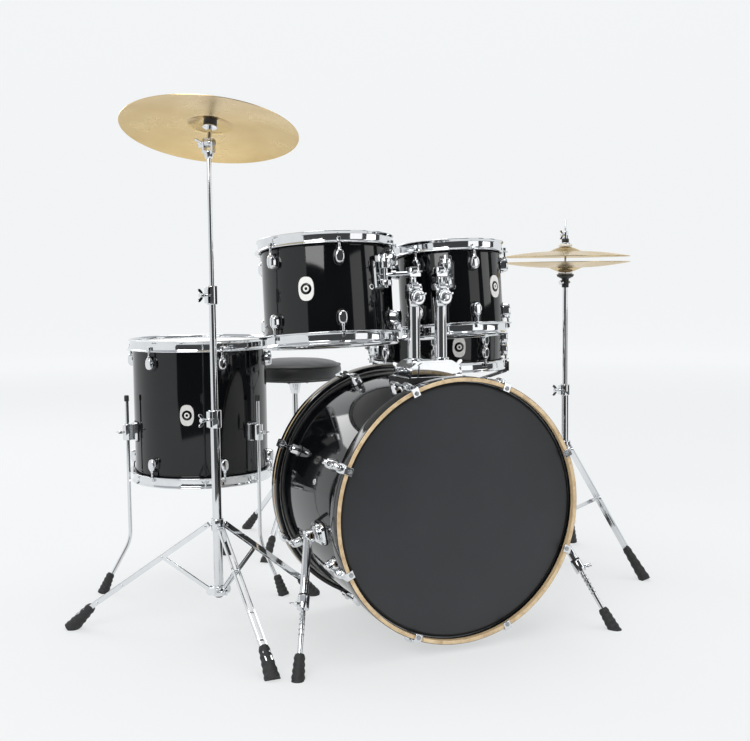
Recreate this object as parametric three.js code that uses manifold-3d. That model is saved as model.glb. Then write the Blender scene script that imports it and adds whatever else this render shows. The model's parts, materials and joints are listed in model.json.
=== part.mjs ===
// Five-piece acoustic drum kit with crash, hi-hat, kick pedal, snare stand and throne.
// Millimetres, +Z up. The audience side of the bass drum faces -Y, the player sits at +Y.
import * as THREE from 'three';
import { mergeVertices } from 'three/addons/utils/BufferGeometryUtils.js';
import Module from 'manifold-3d';

const wasm = await Module();
wasm.setup();

// ---------------------------------------------------------------- driving dimensions
const INCH = 25.4;
const GAP = 0.4; // clearance between touching pieces
const KIT_SHIFT = [-6, -463, 0]; // puts the origin under the centre of the kit's box

const SHELL_WALL = 7;
const RACK_LARGE = { diameter: 12 * INCH, depth: 9 * INCH, lugs: 6, firstLug: -160 };
const RACK_SMALL = { diameter: 10 * INCH, depth: 8 * INCH, lugs: 6, firstLug: -151 };
const FLOOR_TOM = { diameter: 14 * INCH, depth: 14 * INCH, lugs: 6, firstLug: -147 };
const SNARE = { diameter: 14 * INCH, depth: 4.5 * INCH, lugs: 8, firstLug: -164 };
const DRUM_SIDES = 20;

const HOOP_RISE = 12; // hoop top above the bearing edge
const HOOP_DROP = 16; // hoop flange below the bearing edge
const HOOP_INSIDE = 5; // hoop wall stands this far outside the shell
const HOOP_FLANGE = 16; // and the flange reaches this far
const HOOP_SHEET = 3;
const TENSION_ROD = 3;
const SKIN = { top: 1.4, collar: 4.6, drop: 10 };
const BASS_SKIN = { top: 1.6, collar: 5.3, drop: 11 };
const ROD_SEAT = 0.6; // a tension rod ends this far short of its lug
const LUG = { drop: 46, height: 37, width: 24, reach: 19 };
const ROD_OFFSET = 12; // tension rods stand this far outside the shell

const BASS = { diameter: 22 * INCH, depth: 16 * INCH, axisHeight: 312, lugs: 8, firstLug: 22.5 };
const BASS_SIDES = 28;
const BASS_HOOP = { inside: 5.8, outer: 295, width: 38, proud: 16 };
const BASS_LUG = { from: 102, to: 130, width: 22, reach: 29 };
const CLAW = { width: 24, thick: 20, reach: 18, lip: 3.5, tail: 6, rod: 3.2 };

const POST = { radius: 14, wall: 2, spacing: 68, y: -50, foot: 505, clamp: 34 };
const MOUNT = {
  top: 636, sunk: 25, saddle: [128, 86], plate: [150, 104, 26], wingAt: [60, 615], wingTip: 88,
};
const ARM = {
  reach: 62, radius: 5.5, drop: 30, rise: 48, pivotHeight: 800, level: 32, neckDrop: 22, ear: 13,
  ratchet: 12, barrel: 9, stem: 7,
};
const RACK_TILT = 6; // degrees towards the player
const RACK_HEIGHT = 806; // middle of both rack toms
const BRACKET = { offset: 22, width: 30, reach: 38 };
const LARGE_SIDE = { post: -1, armAngle: 160, drumAngle: 119 };
const SMALL_SIDE = { post: 1, armAngle: 49, drumAngle: 60 };

const SPUR = {
  angle: 10, forward: 72, pivotRadius: 311, foot: [390, -232], tube: 9.5, rod: 6,
  tubeEnd: 150, boreFrom: 40, rodFrom: 104, plate: [18, 52, 60], pin: 15, rubber: [11, 15],
};

const FLOOR_TOM_AT = [-366, 605, 477];
const LEG = { radius: 5, offset: 24, top: 521, bend: 135, footRadius: 280, clampHeight: 424 };
const LEG_ANGLES = [-58, 62, 182];

const SNARE_AT = [275, 450, 637];
const SNARE_LUG = 70; // one tall lug serves both ends of the shallow shell
const THROW_OFF_ANGLE = 173.5;
const THROW_OFF_BOX = [26, 30, 74];
const BASKET_ANGLES = [-134, -14, 106];
const SNARE_TRIPOD = { collar: 270, footRadius: 240, footAngle: -20, braceAt: 0.4, hub: 100 };

const CYMBAL_SHEET = 1.6;
const CRASH_AT = [-450, 150];
const CRASH = {
  radius: 8 * INCH, leanAngle: 52, lean: 15, pivot: 1132, stem: 56,
  collar: 254, footRadius: 360, brace: 137, hubRadius: 20, footAngle: -88,
  hub: 15, baseTube: 11, midTube: 8, upperRod: 5.5, clampLow: 481, clampHigh: 766, neck: 1110,
};

const HIHAT_AT = [615, 327];
const HIHAT = {
  radius: 7 * INCH, topRim: 876, bottomRim: 859, rodTop: 978, footRadius: 264, footAngle: -68,
  collar: 342, baseTube: 10.5, upperTube: 7.5, clamp: 485, pedalAngle: 135,
  rodFoot: 578, heelFar: 268, boardNear: 38,
};

const HAT_BOARD = { from: [248, 0, 28], to: [46, 0, 85.09], thick: 5, wide: 76 };

const THRONE_AT = [11, 913];
const THRONE = { seatRadius: 150, seatTop: 572, seatThick: 62, footRadius: 268, footAngle: -10 };

const PEDAL = {
  axleY: 305, axleZ: 200, half: 48, heelY: 500, beater: 190, lean: 25,
  plate: { middle: 352, width: 96, length: 330, from: 4, thick: 6 }, foot: 16,
};

// ---------------------------------------------------------------- materials
const paint = (color, roughness, metalness) =>
  new THREE.MeshStandardMaterial({ color, roughness, metalness });
const lacquer = paint(0x0b0b0d, 0.12, 0);
const chrome = paint(0xd6d9dc, 0.15, 1);
const maple = paint(0xc9a06a, 0.45, 0);
const darkHoop = paint(0x121214, 0.2, 0);
const coatedHead = paint(0xeeece6, 0.6, 0);
const blackHead = paint(0x222326, 0.5, 0);
const bronze = paint(0xc39a4a, 0.3, 1);
const vinyl = paint(0x17171a, 0.5, 0);
const felt = paint(0xe6e2d8, 0.9, 0);

// ---------------------------------------------------------------- shape helpers
const vec = (x, y, z) => new THREE.Vector3(x, y, z);
const rad = THREE.MathUtils.degToRad;
const polar = (radius, degrees, z) =>
  vec(radius * Math.cos(rad(degrees)), radius * Math.sin(rad(degrees)), z);

// Closed surface of revolution about Z from [radius, height] pairs.
function lathe(profile, sides) {
  const points = profile.map(([r, z]) => new THREE.Vector2(r, z));
  return new THREE.LatheGeometry(points, sides).rotateX(Math.PI / 2);
}

const disc = (r, z0, z1, sides) => lathe([[0, z0], [r, z0], [r, z1], [0, z1]], sides);
const ring = (rIn, rOut, z0, z1, sides) =>
  lathe([[rIn, z0], [rOut, z0], [rOut, z1], [rIn, z1], [rIn, z0]], sides);

function rod(from, to, radius, sides = 8, endRadius = radius) {
  const along = to.clone().sub(from);
  const turn = new THREE.Quaternion().setFromUnitVectors(vec(0, 1, 0), along.clone().normalize());
  return new THREE.CylinderGeometry(endRadius, radius, along.length(), sides)
    .applyQuaternion(turn)
    .translate(...from.clone().add(to).multiplyScalar(0.5).toArray());
}

const block = (center, size) => new THREE.BoxGeometry(...size).translate(...center);

// A block lying on a radius: size is [radial, tangential, vertical].
const radialBlock = (degrees, radius, z, size) =>
  block([radius, 0, z], size).rotateZ(rad(degrees));

// A flat bar between two points, `wide` across the Z axis and `thick` the other way.
function bar(from, to, thick, wide) {
  const along = to.clone().sub(from);
  const frame = new THREE.Matrix4().lookAt(from, to, vec(0, 0, 1));
  return new THREE.BoxGeometry(wide, thick, along.length())
    .applyMatrix4(frame)
    .translate(...from.clone().add(to).multiplyScalar(0.5).toArray());
}

const around = (count, first, make) =>
  Array.from({ length: count }, (_, i) => make(first + (i * 360) / count)).flat();

// ---------------------------------------------------------------- solids
function toSolid(geometry) {
  const bare = geometry.index ? geometry.clone() : mergeVertices(geometry);
  bare.deleteAttribute('normal');
  bare.deleteAttribute('uv');
  const merged = mergeVertices(bare, 1e-4);
  const position = merged.attributes.position;
  const corners = merged.index.array;
  const triangles = [];
  let volume = 0;
  for (let i = 0; i < corners.length; i += 3) {
    const [a, b, c] = corners.slice(i, i + 3);
    if (a === b || b === c || c === a) continue;
    triangles.push(a, b, c);
    const [p, q, r] = [a, b, c].map((k) => vec().fromBufferAttribute(position, k));
    volume += p.dot(q.cross(r));
  }
  const outward = volume > 0 ? triangles : triangles.reverse();
  return new wasm.Manifold(new wasm.Mesh({
    numProp: 3,
    vertProperties: new Float32Array(position.array),
    triVerts: new Uint32Array(outward),
  }));
}

const join = (geometries) => geometries.flat().map(toSolid).reduce((all, next) => all.add(next));
const cut = (solid, geometries) =>
  geometries.flat().map(toSolid).reduce((left, tool) => left.subtract(tool), solid);
const aboveFloor = (solid) => cut(solid, [block([0, 0, -50], [6000, 6000, 100])]);

function piece(name, material, solid, parent = kit) {
  const mesh = solid.getMesh();
  const geometry = new THREE.BufferGeometry();
  const position = new THREE.BufferAttribute(new Float32Array(mesh.vertProperties), 3);
  geometry.setAttribute('position', position);
  geometry.setIndex([...mesh.triVerts]);
  geometry.computeVertexNormals();
  const node = new THREE.Mesh(geometry, material);
  node.name = name;
  parent.add(node);
  return node;
}

function group(x, y, z, parent = kit) {
  const holder = new THREE.Group();
  holder.position.set(x, y, z);
  parent.add(holder);
  return holder;
}

const kit = new THREE.Group();
kit.position.set(...KIT_SHIFT);

// ---------------------------------------------------------------- drums with metal hoops
// Everything is built about the drum's own axis, the middle of the shell at z = 0.
// side is 1 for the top (batter) end and -1 for the bottom end.
const radiusOf = (drum) => drum.diameter / 2;
const level = (drum, side, z) => side * (drum.depth / 2 + z);

function drumShell(drum, lugDrop, lugHeight, extras = [], holes = []) {
  const r = radiusOf(drum);
  const half = drum.depth / 2;
  const lugRows = lugDrop === null ? [0] : [half - lugDrop, lugDrop - half];
  const lugs = around(drum.lugs, drum.firstLug, (angle) => lugRows.map((z) =>
    radialBlock(angle, r + LUG.reach / 2 - 2, z, [LUG.reach + 4, LUG.width, lugHeight])));
  const body = join([ring(r - SHELL_WALL, r, -half, half, DRUM_SIDES), ...lugs, ...extras]);
  return cut(body, [disc(r - SHELL_WALL, -half - 1, half + 1, DRUM_SIDES), ...holes]);
}

function metalHoop(drum, side, rodEnd) {
  const r = radiusOf(drum);
  const inside = r + HOOP_INSIDE;
  const outside = inside + HOOP_SHEET;
  const flangeTop = HOOP_SHEET - HOOP_DROP;
  const profile = [
    [inside, -HOOP_DROP], [r + HOOP_FLANGE, -HOOP_DROP], [r + HOOP_FLANGE, flangeTop],
    [outside, flangeTop], [outside, HOOP_RISE], [inside, HOOP_RISE], [inside, -HOOP_DROP],
  ];
  const wall = lathe(profile.map(([x, z]) => [x, level(drum, side, z)]), DRUM_SIDES);
  const rods = around(drum.lugs, drum.firstLug, (angle) => rod(
    polar(r + ROD_OFFSET, angle, level(drum, side, 8 - HOOP_DROP)),
    polar(r + ROD_OFFSET, angle, level(drum, side, rodEnd)), TENSION_ROD, 4));
  return join([wall, ...rods]);
}

// Half section of a head: the skin lies on the bearing edge and its collar hangs round the shell.
const skinProfile = (r, { top, collar, drop }) => [
  [0, GAP], [r + GAP, GAP], [r + GAP, -drop], [r + collar, -drop], [r + collar, top], [0, top],
];

const drumHead = (drum, side) => join([lathe(
  skinProfile(radiusOf(drum), SKIN).map(([x, z]) => [x, level(drum, side, z)]), DRUM_SIDES)]);

function addDrum(name, drum, holder, extras, holes) {
  const rodEnd = ROD_SEAT + LUG.height / 2 - LUG.drop;
  const shell = drumShell(drum, LUG.drop, LUG.height, extras, holes);
  piece(`${name}_shell`, lacquer, shell, holder);
  for (const [end, side] of [['top', 1], ['bottom', -1]]) {
    piece(`${name}_hoop_${end}`, chrome, metalHoop(drum, side, rodEnd), holder);
    piece(`${name}_head_${end}`, coatedHead, drumHead(drum, side), holder);
  }
}

// ---------------------------------------------------------------- bass drum
// Built about Z and turned so that its +Z end, the resonant head, faces the audience.
const bassRadius = radiusOf(BASS);
const bassHalf = BASS.depth / 2;
const bassHolder = group(0, 0, BASS.axisHeight);
bassHolder.rotation.x = Math.PI / 2;

function bassShell() {
  const lugMiddle = (BASS_LUG.from + BASS_LUG.to) / 2;
  const lugs = around(BASS.lugs, BASS.firstLug, (angle) => [1, -1].map((side) => radialBlock(
    angle, bassRadius + BASS_LUG.reach / 2 - 2, side * lugMiddle,
    [BASS_LUG.reach + 4, BASS_LUG.width, BASS_LUG.to - BASS_LUG.from])));
  const spurPlates = [180 + SPUR.angle, -SPUR.angle].map((angle) => radialBlock(
    angle, bassRadius + 7, SPUR.forward, SPUR.plate));
  const body = join([
    ring(bassRadius - SHELL_WALL, bassRadius, -bassHalf, bassHalf, BASS_SIDES),
    ...lugs, ...spurPlates,
  ]);
  const postHoles = [-1, 1].map((side) => rod(
    vec((side * POST.spacing) / 2, bassRadius - 40, -POST.y),
    vec((side * POST.spacing) / 2, bassRadius + 20, -POST.y), POST.radius + 1, 12));
  const bore = disc(bassRadius - SHELL_WALL, -bassHalf - 1, bassHalf + 1, BASS_SIDES);
  return cut(body, [bore, ...postHoles]);
}

function bassHoop(side) {
  const outerEdge = bassHalf + BASS_HOOP.proud;
  const innerEdge = outerEdge - BASS_HOOP.width;
  const at = (a, b) => (side * (a + b)) / 2;
  const wood = ring(bassRadius + BASS_HOOP.inside, BASS_HOOP.outer, side * innerEdge,
    side * outerEdge, BASS_SIDES);
  const claws = around(BASS.lugs, BASS.firstLug, (angle) => [
    radialBlock(angle, bassRadius + CLAW.reach, at(innerEdge - CLAW.tail, outerEdge + CLAW.lip),
      [CLAW.thick, CLAW.width, BASS_HOOP.width + CLAW.tail + CLAW.lip]),
    rod(polar(bassRadius + CLAW.reach, angle, side * innerEdge),
      polar(bassRadius + CLAW.reach, angle, side * (BASS_LUG.to + ROD_SEAT)), CLAW.rod, 4),
  ]);
  return join([wood, ...claws]);
}

const bassHead = (side) => join([lathe(
  skinProfile(bassRadius, BASS_SKIN).map(([x, z]) => [x, side * (bassHalf + z)]), BASS_SIDES)]);

piece('bass_shell', lacquer, bassShell(), bassHolder);
for (const [end, side, hoopPaint, skin] of [
  ['front', 1, maple, blackHead], ['rear', -1, darkHoop, coatedHead]]) {
  piece(`bass_hoop_${end}`, hoopPaint, bassHoop(side), bassHolder);
  piece(`bass_head_${end}`, skin, bassHead(side), bassHolder);
}

// ---------------------------------------------------------------- bass drum spurs
for (const [sideName, side] of [['left', -1], ['right', 1]]) {
  const pivot = vec(
    side * SPUR.pivotRadius * Math.cos(rad(SPUR.angle)), -SPUR.forward,
    BASS.axisHeight - SPUR.pivotRadius * Math.sin(rad(SPUR.angle)));
  const foot = vec(side * SPUR.foot[0], SPUR.foot[1], 0);
  const length = pivot.distanceTo(foot);
  const at = (distance) => pivot.clone().lerp(foot, distance / length);
  const outward = vec(side * Math.cos(rad(SPUR.angle)), 0, -Math.sin(rad(SPUR.angle)));
  const pin = [pivot.clone().addScaledVector(outward, -14), pivot.clone().addScaledVector(outward, 8)];
  piece(`spur_tube_${sideName}`, chrome, cut(join([
    rod(pin[0], pin[1], SPUR.pin, 12),
    rod(at(0), at(SPUR.tubeEnd), SPUR.tube, 10),
    rod(at(SPUR.tubeEnd - 15), at(SPUR.tubeEnd + 15), SPUR.tube + 4, 10),
    rod(at(SPUR.tubeEnd), at(SPUR.tubeEnd).add(vec(side * 26, -14, 4)), 4, 6),
  ]), [rod(at(SPUR.boreFrom), at(SPUR.tubeEnd + 20), SPUR.rod + GAP, 10)]));
  piece(`spur_rod_${sideName}`, chrome, aboveFloor(join([
    rod(at(SPUR.rodFrom), at(length - 20), SPUR.rod, 10),
    rod(at(length - 52), at(length + 12), SPUR.rubber[0], 10, SPUR.rubber[1]),
  ])));
}

// ---------------------------------------------------------------- rack toms on the bass drum
const mountFloor = BASS.axisHeight + bassRadius;

function tomMount() {
  const saddleHeight = MOUNT.top - mountFloor + MOUNT.sunk;
  const saddle = block([0, POST.y, MOUNT.top - saddleHeight / 2],
    [...MOUNT.saddle, saddleHeight]);
  const lowPlate = block([0, POST.y, mountFloor - 8], MOUNT.plate);
  const [wingX, wingZ] = MOUNT.wingAt;
  const wings = [-1, 1].map((side) =>
    rod(vec(side * wingX, POST.y, wingZ), vec(side * MOUNT.wingTip, POST.y, wingZ), 6, 8));
  const bores = [-1, 1].map((side) => rod(
    vec((side * POST.spacing) / 2, POST.y, mountFloor - 60),
    vec((side * POST.spacing) / 2, POST.y, MOUNT.top + 5), POST.radius + GAP, 12));
  const shellSpace = disc(bassRadius + GAP, -200, 200, 64).rotateX(Math.PI / 2)
    .translate(0, 0, BASS.axisHeight);
  return cut(join([saddle, lowPlate, ...wings]), [shellSpace, ...bores]);
}

piece('tom_mount', chrome, tomMount());

function addRackTom(name, drum, side) {
  const postX = (side.post * POST.spacing) / 2;
  const sideName = side.post < 0 ? 'left' : 'right';
  const neck = ARM.pivotHeight - ARM.neckDrop;
  const clamp = block([postX, POST.y, neck - 2], [POST.clamp, POST.clamp, 22]);
  const ears = [-1, 1].map((ear) =>
    block([postX + ear * ARM.ear, POST.y, ARM.pivotHeight - 5], [7, 24, 22]));
  piece(`tom_post_${sideName}`, chrome, cut(join([
    rod(vec(postX, POST.y, POST.foot), vec(postX, POST.y, neck), POST.radius, 12),
    clamp, ...ears,
    rod(vec(postX, POST.y - 16, neck), vec(postX, POST.y - 34, neck), 5, 6),
  ]), [rod(vec(postX, POST.y, POST.foot - 1), vec(postX, POST.y, neck - 23),
    POST.radius - POST.wall, 12)]));

  // The arm and the drum lean together about the ratchet on top of the post.
  const lean = group(postX, POST.y, ARM.pivotHeight);
  lean.rotation.x = rad(-RACK_TILT);
  const elbow = polar(ARM.reach, side.armAngle, ARM.level);
  const atHeight = (z) => elbow.clone().setZ(ARM.level + z);
  piece(`tom_arm_${sideName}`, chrome, join([
    rod(vec(-ARM.barrel, 0, 0), vec(ARM.barrel, 0, 0), ARM.ratchet, 12),
    rod(vec(0, 0, 0), vec(0, 0, ARM.level), ARM.stem, 10),
    block([0, 0, ARM.level + 2], [26, 26, 22]),
    rod(vec(0, 0, ARM.level), elbow, ARM.radius, 10),
    rod(atHeight(-ARM.drop), atHeight(ARM.rise), ARM.radius, 10),
  ]), lean);

  const r = radiusOf(drum);
  const middle = elbow.clone().add(polar(r + BRACKET.offset, side.drumAngle, 0));
  const holder = group(middle.x, middle.y, RACK_HEIGHT - ARM.pivotHeight, lean);
  const toArm = side.drumAngle + 180;
  const lift = ARM.pivotHeight + ARM.level - RACK_HEIGHT;
  const bracketAt = (z, height) =>
    radialBlock(toArm, r + 16, lift + z, [BRACKET.reach, BRACKET.width, height]);
  const backPlate = radialBlock(toArm, r + 4, lift, [14, BRACKET.width, 52]);
  const armHole = rod(polar(r + BRACKET.offset, toArm, lift - 60),
    polar(r + BRACKET.offset, toArm, lift + 60), ARM.radius + GAP, 10);
  addDrum(`tom_${name}`, drum, holder, [bracketAt(-19, 13), bracketAt(26, 24), backPlate],
    [armHole]);
}

addRackTom('large', RACK_LARGE, LARGE_SIDE);
addRackTom('small', RACK_SMALL, SMALL_SIDE);

// ---------------------------------------------------------------- floor tom and its legs
const floorTomHolder = group(...FLOOR_TOM_AT);
const legRadius = radiusOf(FLOOR_TOM) + LEG.offset;
const legClampZ = LEG.clampHeight - FLOOR_TOM_AT[2];
const legClamp = (angle) =>
  radialBlock(angle, radiusOf(FLOOR_TOM) + 15, legClampZ, [38, 30, 44]);
const legHole = (angle) => rod(polar(legRadius, angle, legClampZ - 60),
  polar(legRadius, angle, legClampZ + 60), LEG.radius + GAP, 10);
addDrum('floor_tom', FLOOR_TOM, floorTomHolder, LEG_ANGLES.map(legClamp), LEG_ANGLES.map(legHole));

LEG_ANGLES.forEach((angle, index) => {
  const at = (radius, z) => polar(radius, angle, z).add(vec(FLOOR_TOM_AT[0], FLOOR_TOM_AT[1], 0));
  piece(`floor_tom_leg_${index + 1}`, chrome, aboveFloor(join([
    rod(at(legRadius, LEG.bend), at(legRadius, LEG.top), LEG.radius, 10),
    new THREE.SphereGeometry(LEG.radius + 0.4, 10, 6).translate(...at(legRadius, LEG.bend).toArray()),
    rod(at(legRadius, LEG.bend), at(LEG.footRadius - 6, 12), LEG.radius, 10),
    rod(at(LEG.footRadius - 20, 40), at(LEG.footRadius, 0), 10, 10, 15),
  ])));
});

// ---------------------------------------------------------------- snare drum and stand
const snareHolder = group(...SNARE_AT);
const snareRadius = radiusOf(SNARE);
const snareRodEnd = ROD_SEAT + SNARE_LUG / 2 - SNARE.depth / 2;
const throwOff = radialBlock(THROW_OFF_ANGLE, snareRadius + 9, 0, THROW_OFF_BOX);
piece('snare_shell', lacquer, drumShell(SNARE, null, SNARE_LUG, [throwOff]), snareHolder);
piece('snare_hoop_top', chrome, metalHoop(SNARE, 1, snareRodEnd), snareHolder);
piece('snare_head_top', coatedHead, drumHead(SNARE, 1), snareHolder);
const lowerHead = drumHead(SNARE, -1);
const lowerRing = ring(snareRadius + 4, snareRadius + 6, level(SNARE, -1, -9), level(SNARE, -1, 1),
  DRUM_SIDES);
piece('snare_hoop_bottom', chrome,
  metalHoop(SNARE, -1, snareRodEnd).add(lowerHead).add(toSolid(lowerRing)), snareHolder);
const leverFoot = polar(snareRadius + 28, THROW_OFF_ANGLE, -6);
piece('snare_throw_off_lever', chrome, join([
  radialBlock(THROW_OFF_ANGLE, snareRadius + 26, 16, [7, 14, 44]),
  rod(leverFoot.clone().add(polar(9, THROW_OFF_ANGLE - 90, 0)),
    leverFoot.clone().add(polar(9, THROW_OFF_ANGLE + 90, 0)), 5, 8),
]), snareHolder);

// Tripod legs of a fixed stand: straight legs from a collar, braced to the foot of the tube.
function tripod(x, y, { collar, footRadius, footAngle, braceAt, hub, thick = 5, wide = 12 }) {
  const at = (radius, angle, z) => polar(radius, angle, z).add(vec(x, y, 0));
  return around(3, footAngle, (angle) => {
    const top = at(12, angle, collar);
    const foot = at(footRadius - 16, angle, 15);
    const joint = top.clone().lerp(foot, braceAt);
    return [
      bar(top, foot, thick, wide),
      bar(at(8, angle, hub), joint, thick, wide),
      rod(top.clone().lerp(foot, 0.9), at(footRadius, angle, 0), 10, 6, 15),
    ];
  });
}

const snareFloor = SNARE_AT[2] - SNARE.depth / 2 - HOOP_RISE;
const [snareX, snareY] = SNARE_AT;
const basketArms = BASKET_ANGLES.flatMap((angle) => {
  const at = (radius, z) => polar(radius, angle, z).add(vec(snareX, snareY, 0));
  return [
    bar(at(10, snareFloor - 70), at(snareRadius + 20, snareFloor - 9), 8, 14),
    radialBlock(angle, snareRadius + 6, snareFloor - 7, [40, 20, 13]).translate(snareX, snareY, 0),
    radialBlock(angle, snareRadius + 22, snareFloor + 2, [8, 20, 26]).translate(snareX, snareY, 0),
  ];
});
piece('snare_stand', chrome, aboveFloor(join([
  rod(vec(snareX, snareY, 90), vec(snareX, snareY, snareFloor - 60), 10, 10),
  rod(vec(snareX, snareY, 300), vec(snareX, snareY, 335), 15, 10),
  rod(vec(snareX, snareY, 255), vec(snareX, snareY, 285), 17, 10),
  rod(vec(snareX, snareY, snareFloor - 84), vec(snareX, snareY, snareFloor - 56), 17, 10),
  ...basketArms,
  ...tripod(snareX, snareY, SNARE_TRIPOD),
])));

// ---------------------------------------------------------------- crash cymbal stand
const [crashX, crashY] = CRASH_AT;
const crashAt = (radius, angle, z) => polar(radius, angle, z).add(vec(crashX, crashY, 0));
const upright = (from, to, radius, sides = 10) => rod(from, to, radius, sides);
const crashAxis = (z) => crashAt(0, 0, z);
const legDrop = CRASH.collar - 18;
const legRun = CRASH.footRadius - CRASH.hubRadius;
const legLength = Math.hypot(legDrop, legRun);
const braceRun = (CRASH.brace * legRun) / legLength;
const braceDrop = (CRASH.brace * legDrop) / legLength;
const hubHeight = CRASH.collar - 2 * braceDrop;

function clampWing(at, angle, reach) {
  const tip = at.clone().add(polar(reach, angle, 0));
  return [rod(at, tip, 4, 6), block(tip.toArray(), [6, 20, 16])];
}

piece('crash_base_tube', chrome, cut(join([
  upright(crashAxis(hubHeight - 8), crashAxis(CRASH.clampLow + 5), CRASH.baseTube),
  upright(crashAxis(hubHeight - 12), crashAxis(hubHeight + 12), CRASH.hub),
  upright(crashAxis(CRASH.collar - 14), crashAxis(CRASH.collar + 14), CRASH.hub),
  upright(crashAxis(CRASH.clampLow), crashAxis(CRASH.clampLow + 42), CRASH.hub),
  ...clampWing(crashAxis(CRASH.clampLow + 22), 205, 34),
  ...around(3, CRASH.footAngle, (angle) => [-1, 1].map((ear) =>
    block([CRASH.hubRadius - 3, ear * 11, hubHeight], [20, 4, 18]).rotateZ(rad(angle))
      .translate(crashX, crashY, 0))),
]), [upright(crashAxis(hubHeight + 16), crashAxis(CRASH.clampLow + 60), CRASH.midTube + GAP)]));

piece('crash_mid_tube', chrome, cut(join([
  upright(crashAxis(300), crashAxis(CRASH.clampHigh + 5), CRASH.midTube),
  upright(crashAxis(CRASH.clampHigh), crashAxis(CRASH.clampHigh + 43), 12.5),
  ...clampWing(crashAxis(CRASH.clampHigh + 22), 205, 30),
]), [upright(crashAxis(320), crashAxis(CRASH.clampHigh + 60), CRASH.upperRod + GAP)]));

// Fork at the top of the upper rod; the tilter disc turns between its cheeks.
const leanHolder = group(crashX, crashY, CRASH.pivot);
leanHolder.rotation.z = rad(CRASH.leanAngle);
piece('crash_upper_rod', chrome, join([
  upright(vec(0, 0, 620 - CRASH.pivot), vec(0, 0, CRASH.neck - CRASH.pivot), CRASH.upperRod),
  block([0, 0, CRASH.neck - CRASH.pivot + 2], [18, 26, 8]),
  ...[-1, 1].map((cheek) => block([0, cheek * 10.5, -4], [18, 5, 30])),
  rod(vec(0, 12, 0), vec(0, 26, 0), 4, 6),
  block([0, 28, 3], [20, 6, 16]),
]), leanHolder);

const tilted = new THREE.Group();
tilted.rotation.y = rad(CRASH.lean);
leanHolder.add(tilted);
piece('crash_tilter', chrome, join([
  rod(vec(0, -7.5, 0), vec(0, 7.5, 0), 10, 12),
  upright(vec(0, 0, 0), vec(0, 0, CRASH.stem + 32), 4, 8),
  disc(17, CRASH.stem - 18, CRASH.stem - 0.8, 12),
  disc(15, CRASH.stem + 2.5, CRASH.stem + 14, 12),
  block([0, 0, CRASH.stem + 20], [34, 7, 12]),
]), tilted);

// Thin dished cymbal with a raised bell and a centre hole; the rim is at height zero.
function cymbal(radius, rise, hole, sides) {
  const dome = [
    [radius, 0], [radius * 0.29, rise * 0.55], [radius * 0.2, rise * 0.94], [hole, rise]];
  const under = dome.map(([r, z]) => [r, z - CYMBAL_SHEET]).reverse();
  return lathe([...dome, ...under, dome[0]], sides);
}

const crashCymbal = cymbal(CRASH.radius, 30, 6, 28).translate(0, 0, CRASH.stem - 28);
piece('crash_cymbal', bronze, join([crashCymbal]), tilted);

// Folding legs. Each brace turns on the hub at the foot of the tube, and each leg turns on the
// end of its brace; the leg's top end travels up the tube, so that pivot is left open.
const legNames = ['front', 'right', 'left'];
legNames.forEach((legName, index) => {
  const angle = CRASH.footAngle + index * 120;
  const side = (radius, z, shift) => crashAt(radius, angle, z).add(polar(shift, angle + 90, 0));
  const top = [CRASH.hubRadius, CRASH.collar];
  const joint = [CRASH.hubRadius + braceRun, CRASH.collar - braceDrop];
  const foot = [CRASH.footRadius, 18];
  const legBars = [-6.2, 6.2].map((shift) =>
    bar(side(...top, shift), side(foot[0] - 20, 32, shift), 11, 3));
  const cross = (at) => rod(side(...at, -7), side(...at, 7), 3.4, 6);
  const near = (part) => top.map((value, k) => value + (foot[k] - value) * part);
  piece(`crash_leg_${legName}`, chrome, aboveFloor(join([
    ...legBars, cross(near(0.02)), cross(near(0.62)),
    rod(side(...near(0.88), 0), side(foot[0], 0, 0), 12, 10, 17),
    rod(side(...near(0.86), -7), side(...near(0.86), 7), 7, 8),
  ])));
  piece(`crash_brace_${legName}`, chrome, join([
    bar(side(CRASH.hubRadius, hubHeight, 0), side(...joint, 0), 9, 6),
    rod(side(CRASH.hubRadius, hubHeight, -8), side(CRASH.hubRadius, hubHeight, 8), 3.4, 6),
  ]));
});

// ---------------------------------------------------------------- hi-hat
const [hatX, hatY] = HIHAT_AT;
const hatHolder = group(hatX, hatY, 0);
const hatAxis = (z) => vec(0, 0, z);
const { heelFar, boardNear } = HIHAT;
const pedalFrame = [
  block([150, 0, 5], [260, 52, 6]),
  block([heelFar, 0, 12], [30, 70, 18]),
  block([boardNear - 16, 0, 9], [14, 110, 12]),
  ...[-1, 1].map((side) => block([boardNear - 16, side * 51, 58], [14, 7, 110])),
  block([6, 0, 112], [58, 108, 8]),
].map((shape) => shape.rotateZ(rad(HIHAT.pedalAngle)));
const rodPath = upright(hatAxis(60), hatAxis(HIHAT.rodTop), 5, 8);
piece('hihat_base', chrome, cut(aboveFloor(join([
  upright(hatAxis(108), hatAxis(HIHAT.clamp + 4), HIHAT.baseTube),
  upright(hatAxis(HIHAT.clamp), hatAxis(HIHAT.clamp + 32), 14),
  ...clampWing(hatAxis(HIHAT.clamp + 16), 185, 32),
  upright(hatAxis(HIHAT.collar - 14), hatAxis(HIHAT.collar + 14), 17),
  ...tripod(0, 0, { collar: HIHAT.collar, footRadius: HIHAT.footRadius,
    footAngle: HIHAT.footAngle, braceAt: 0.42, hub: 150 }),
  ...pedalFrame,
])), [upright(hatAxis(60), hatAxis(HIHAT.clamp + 40), HIHAT.upperTube + GAP)]), hatHolder);

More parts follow.
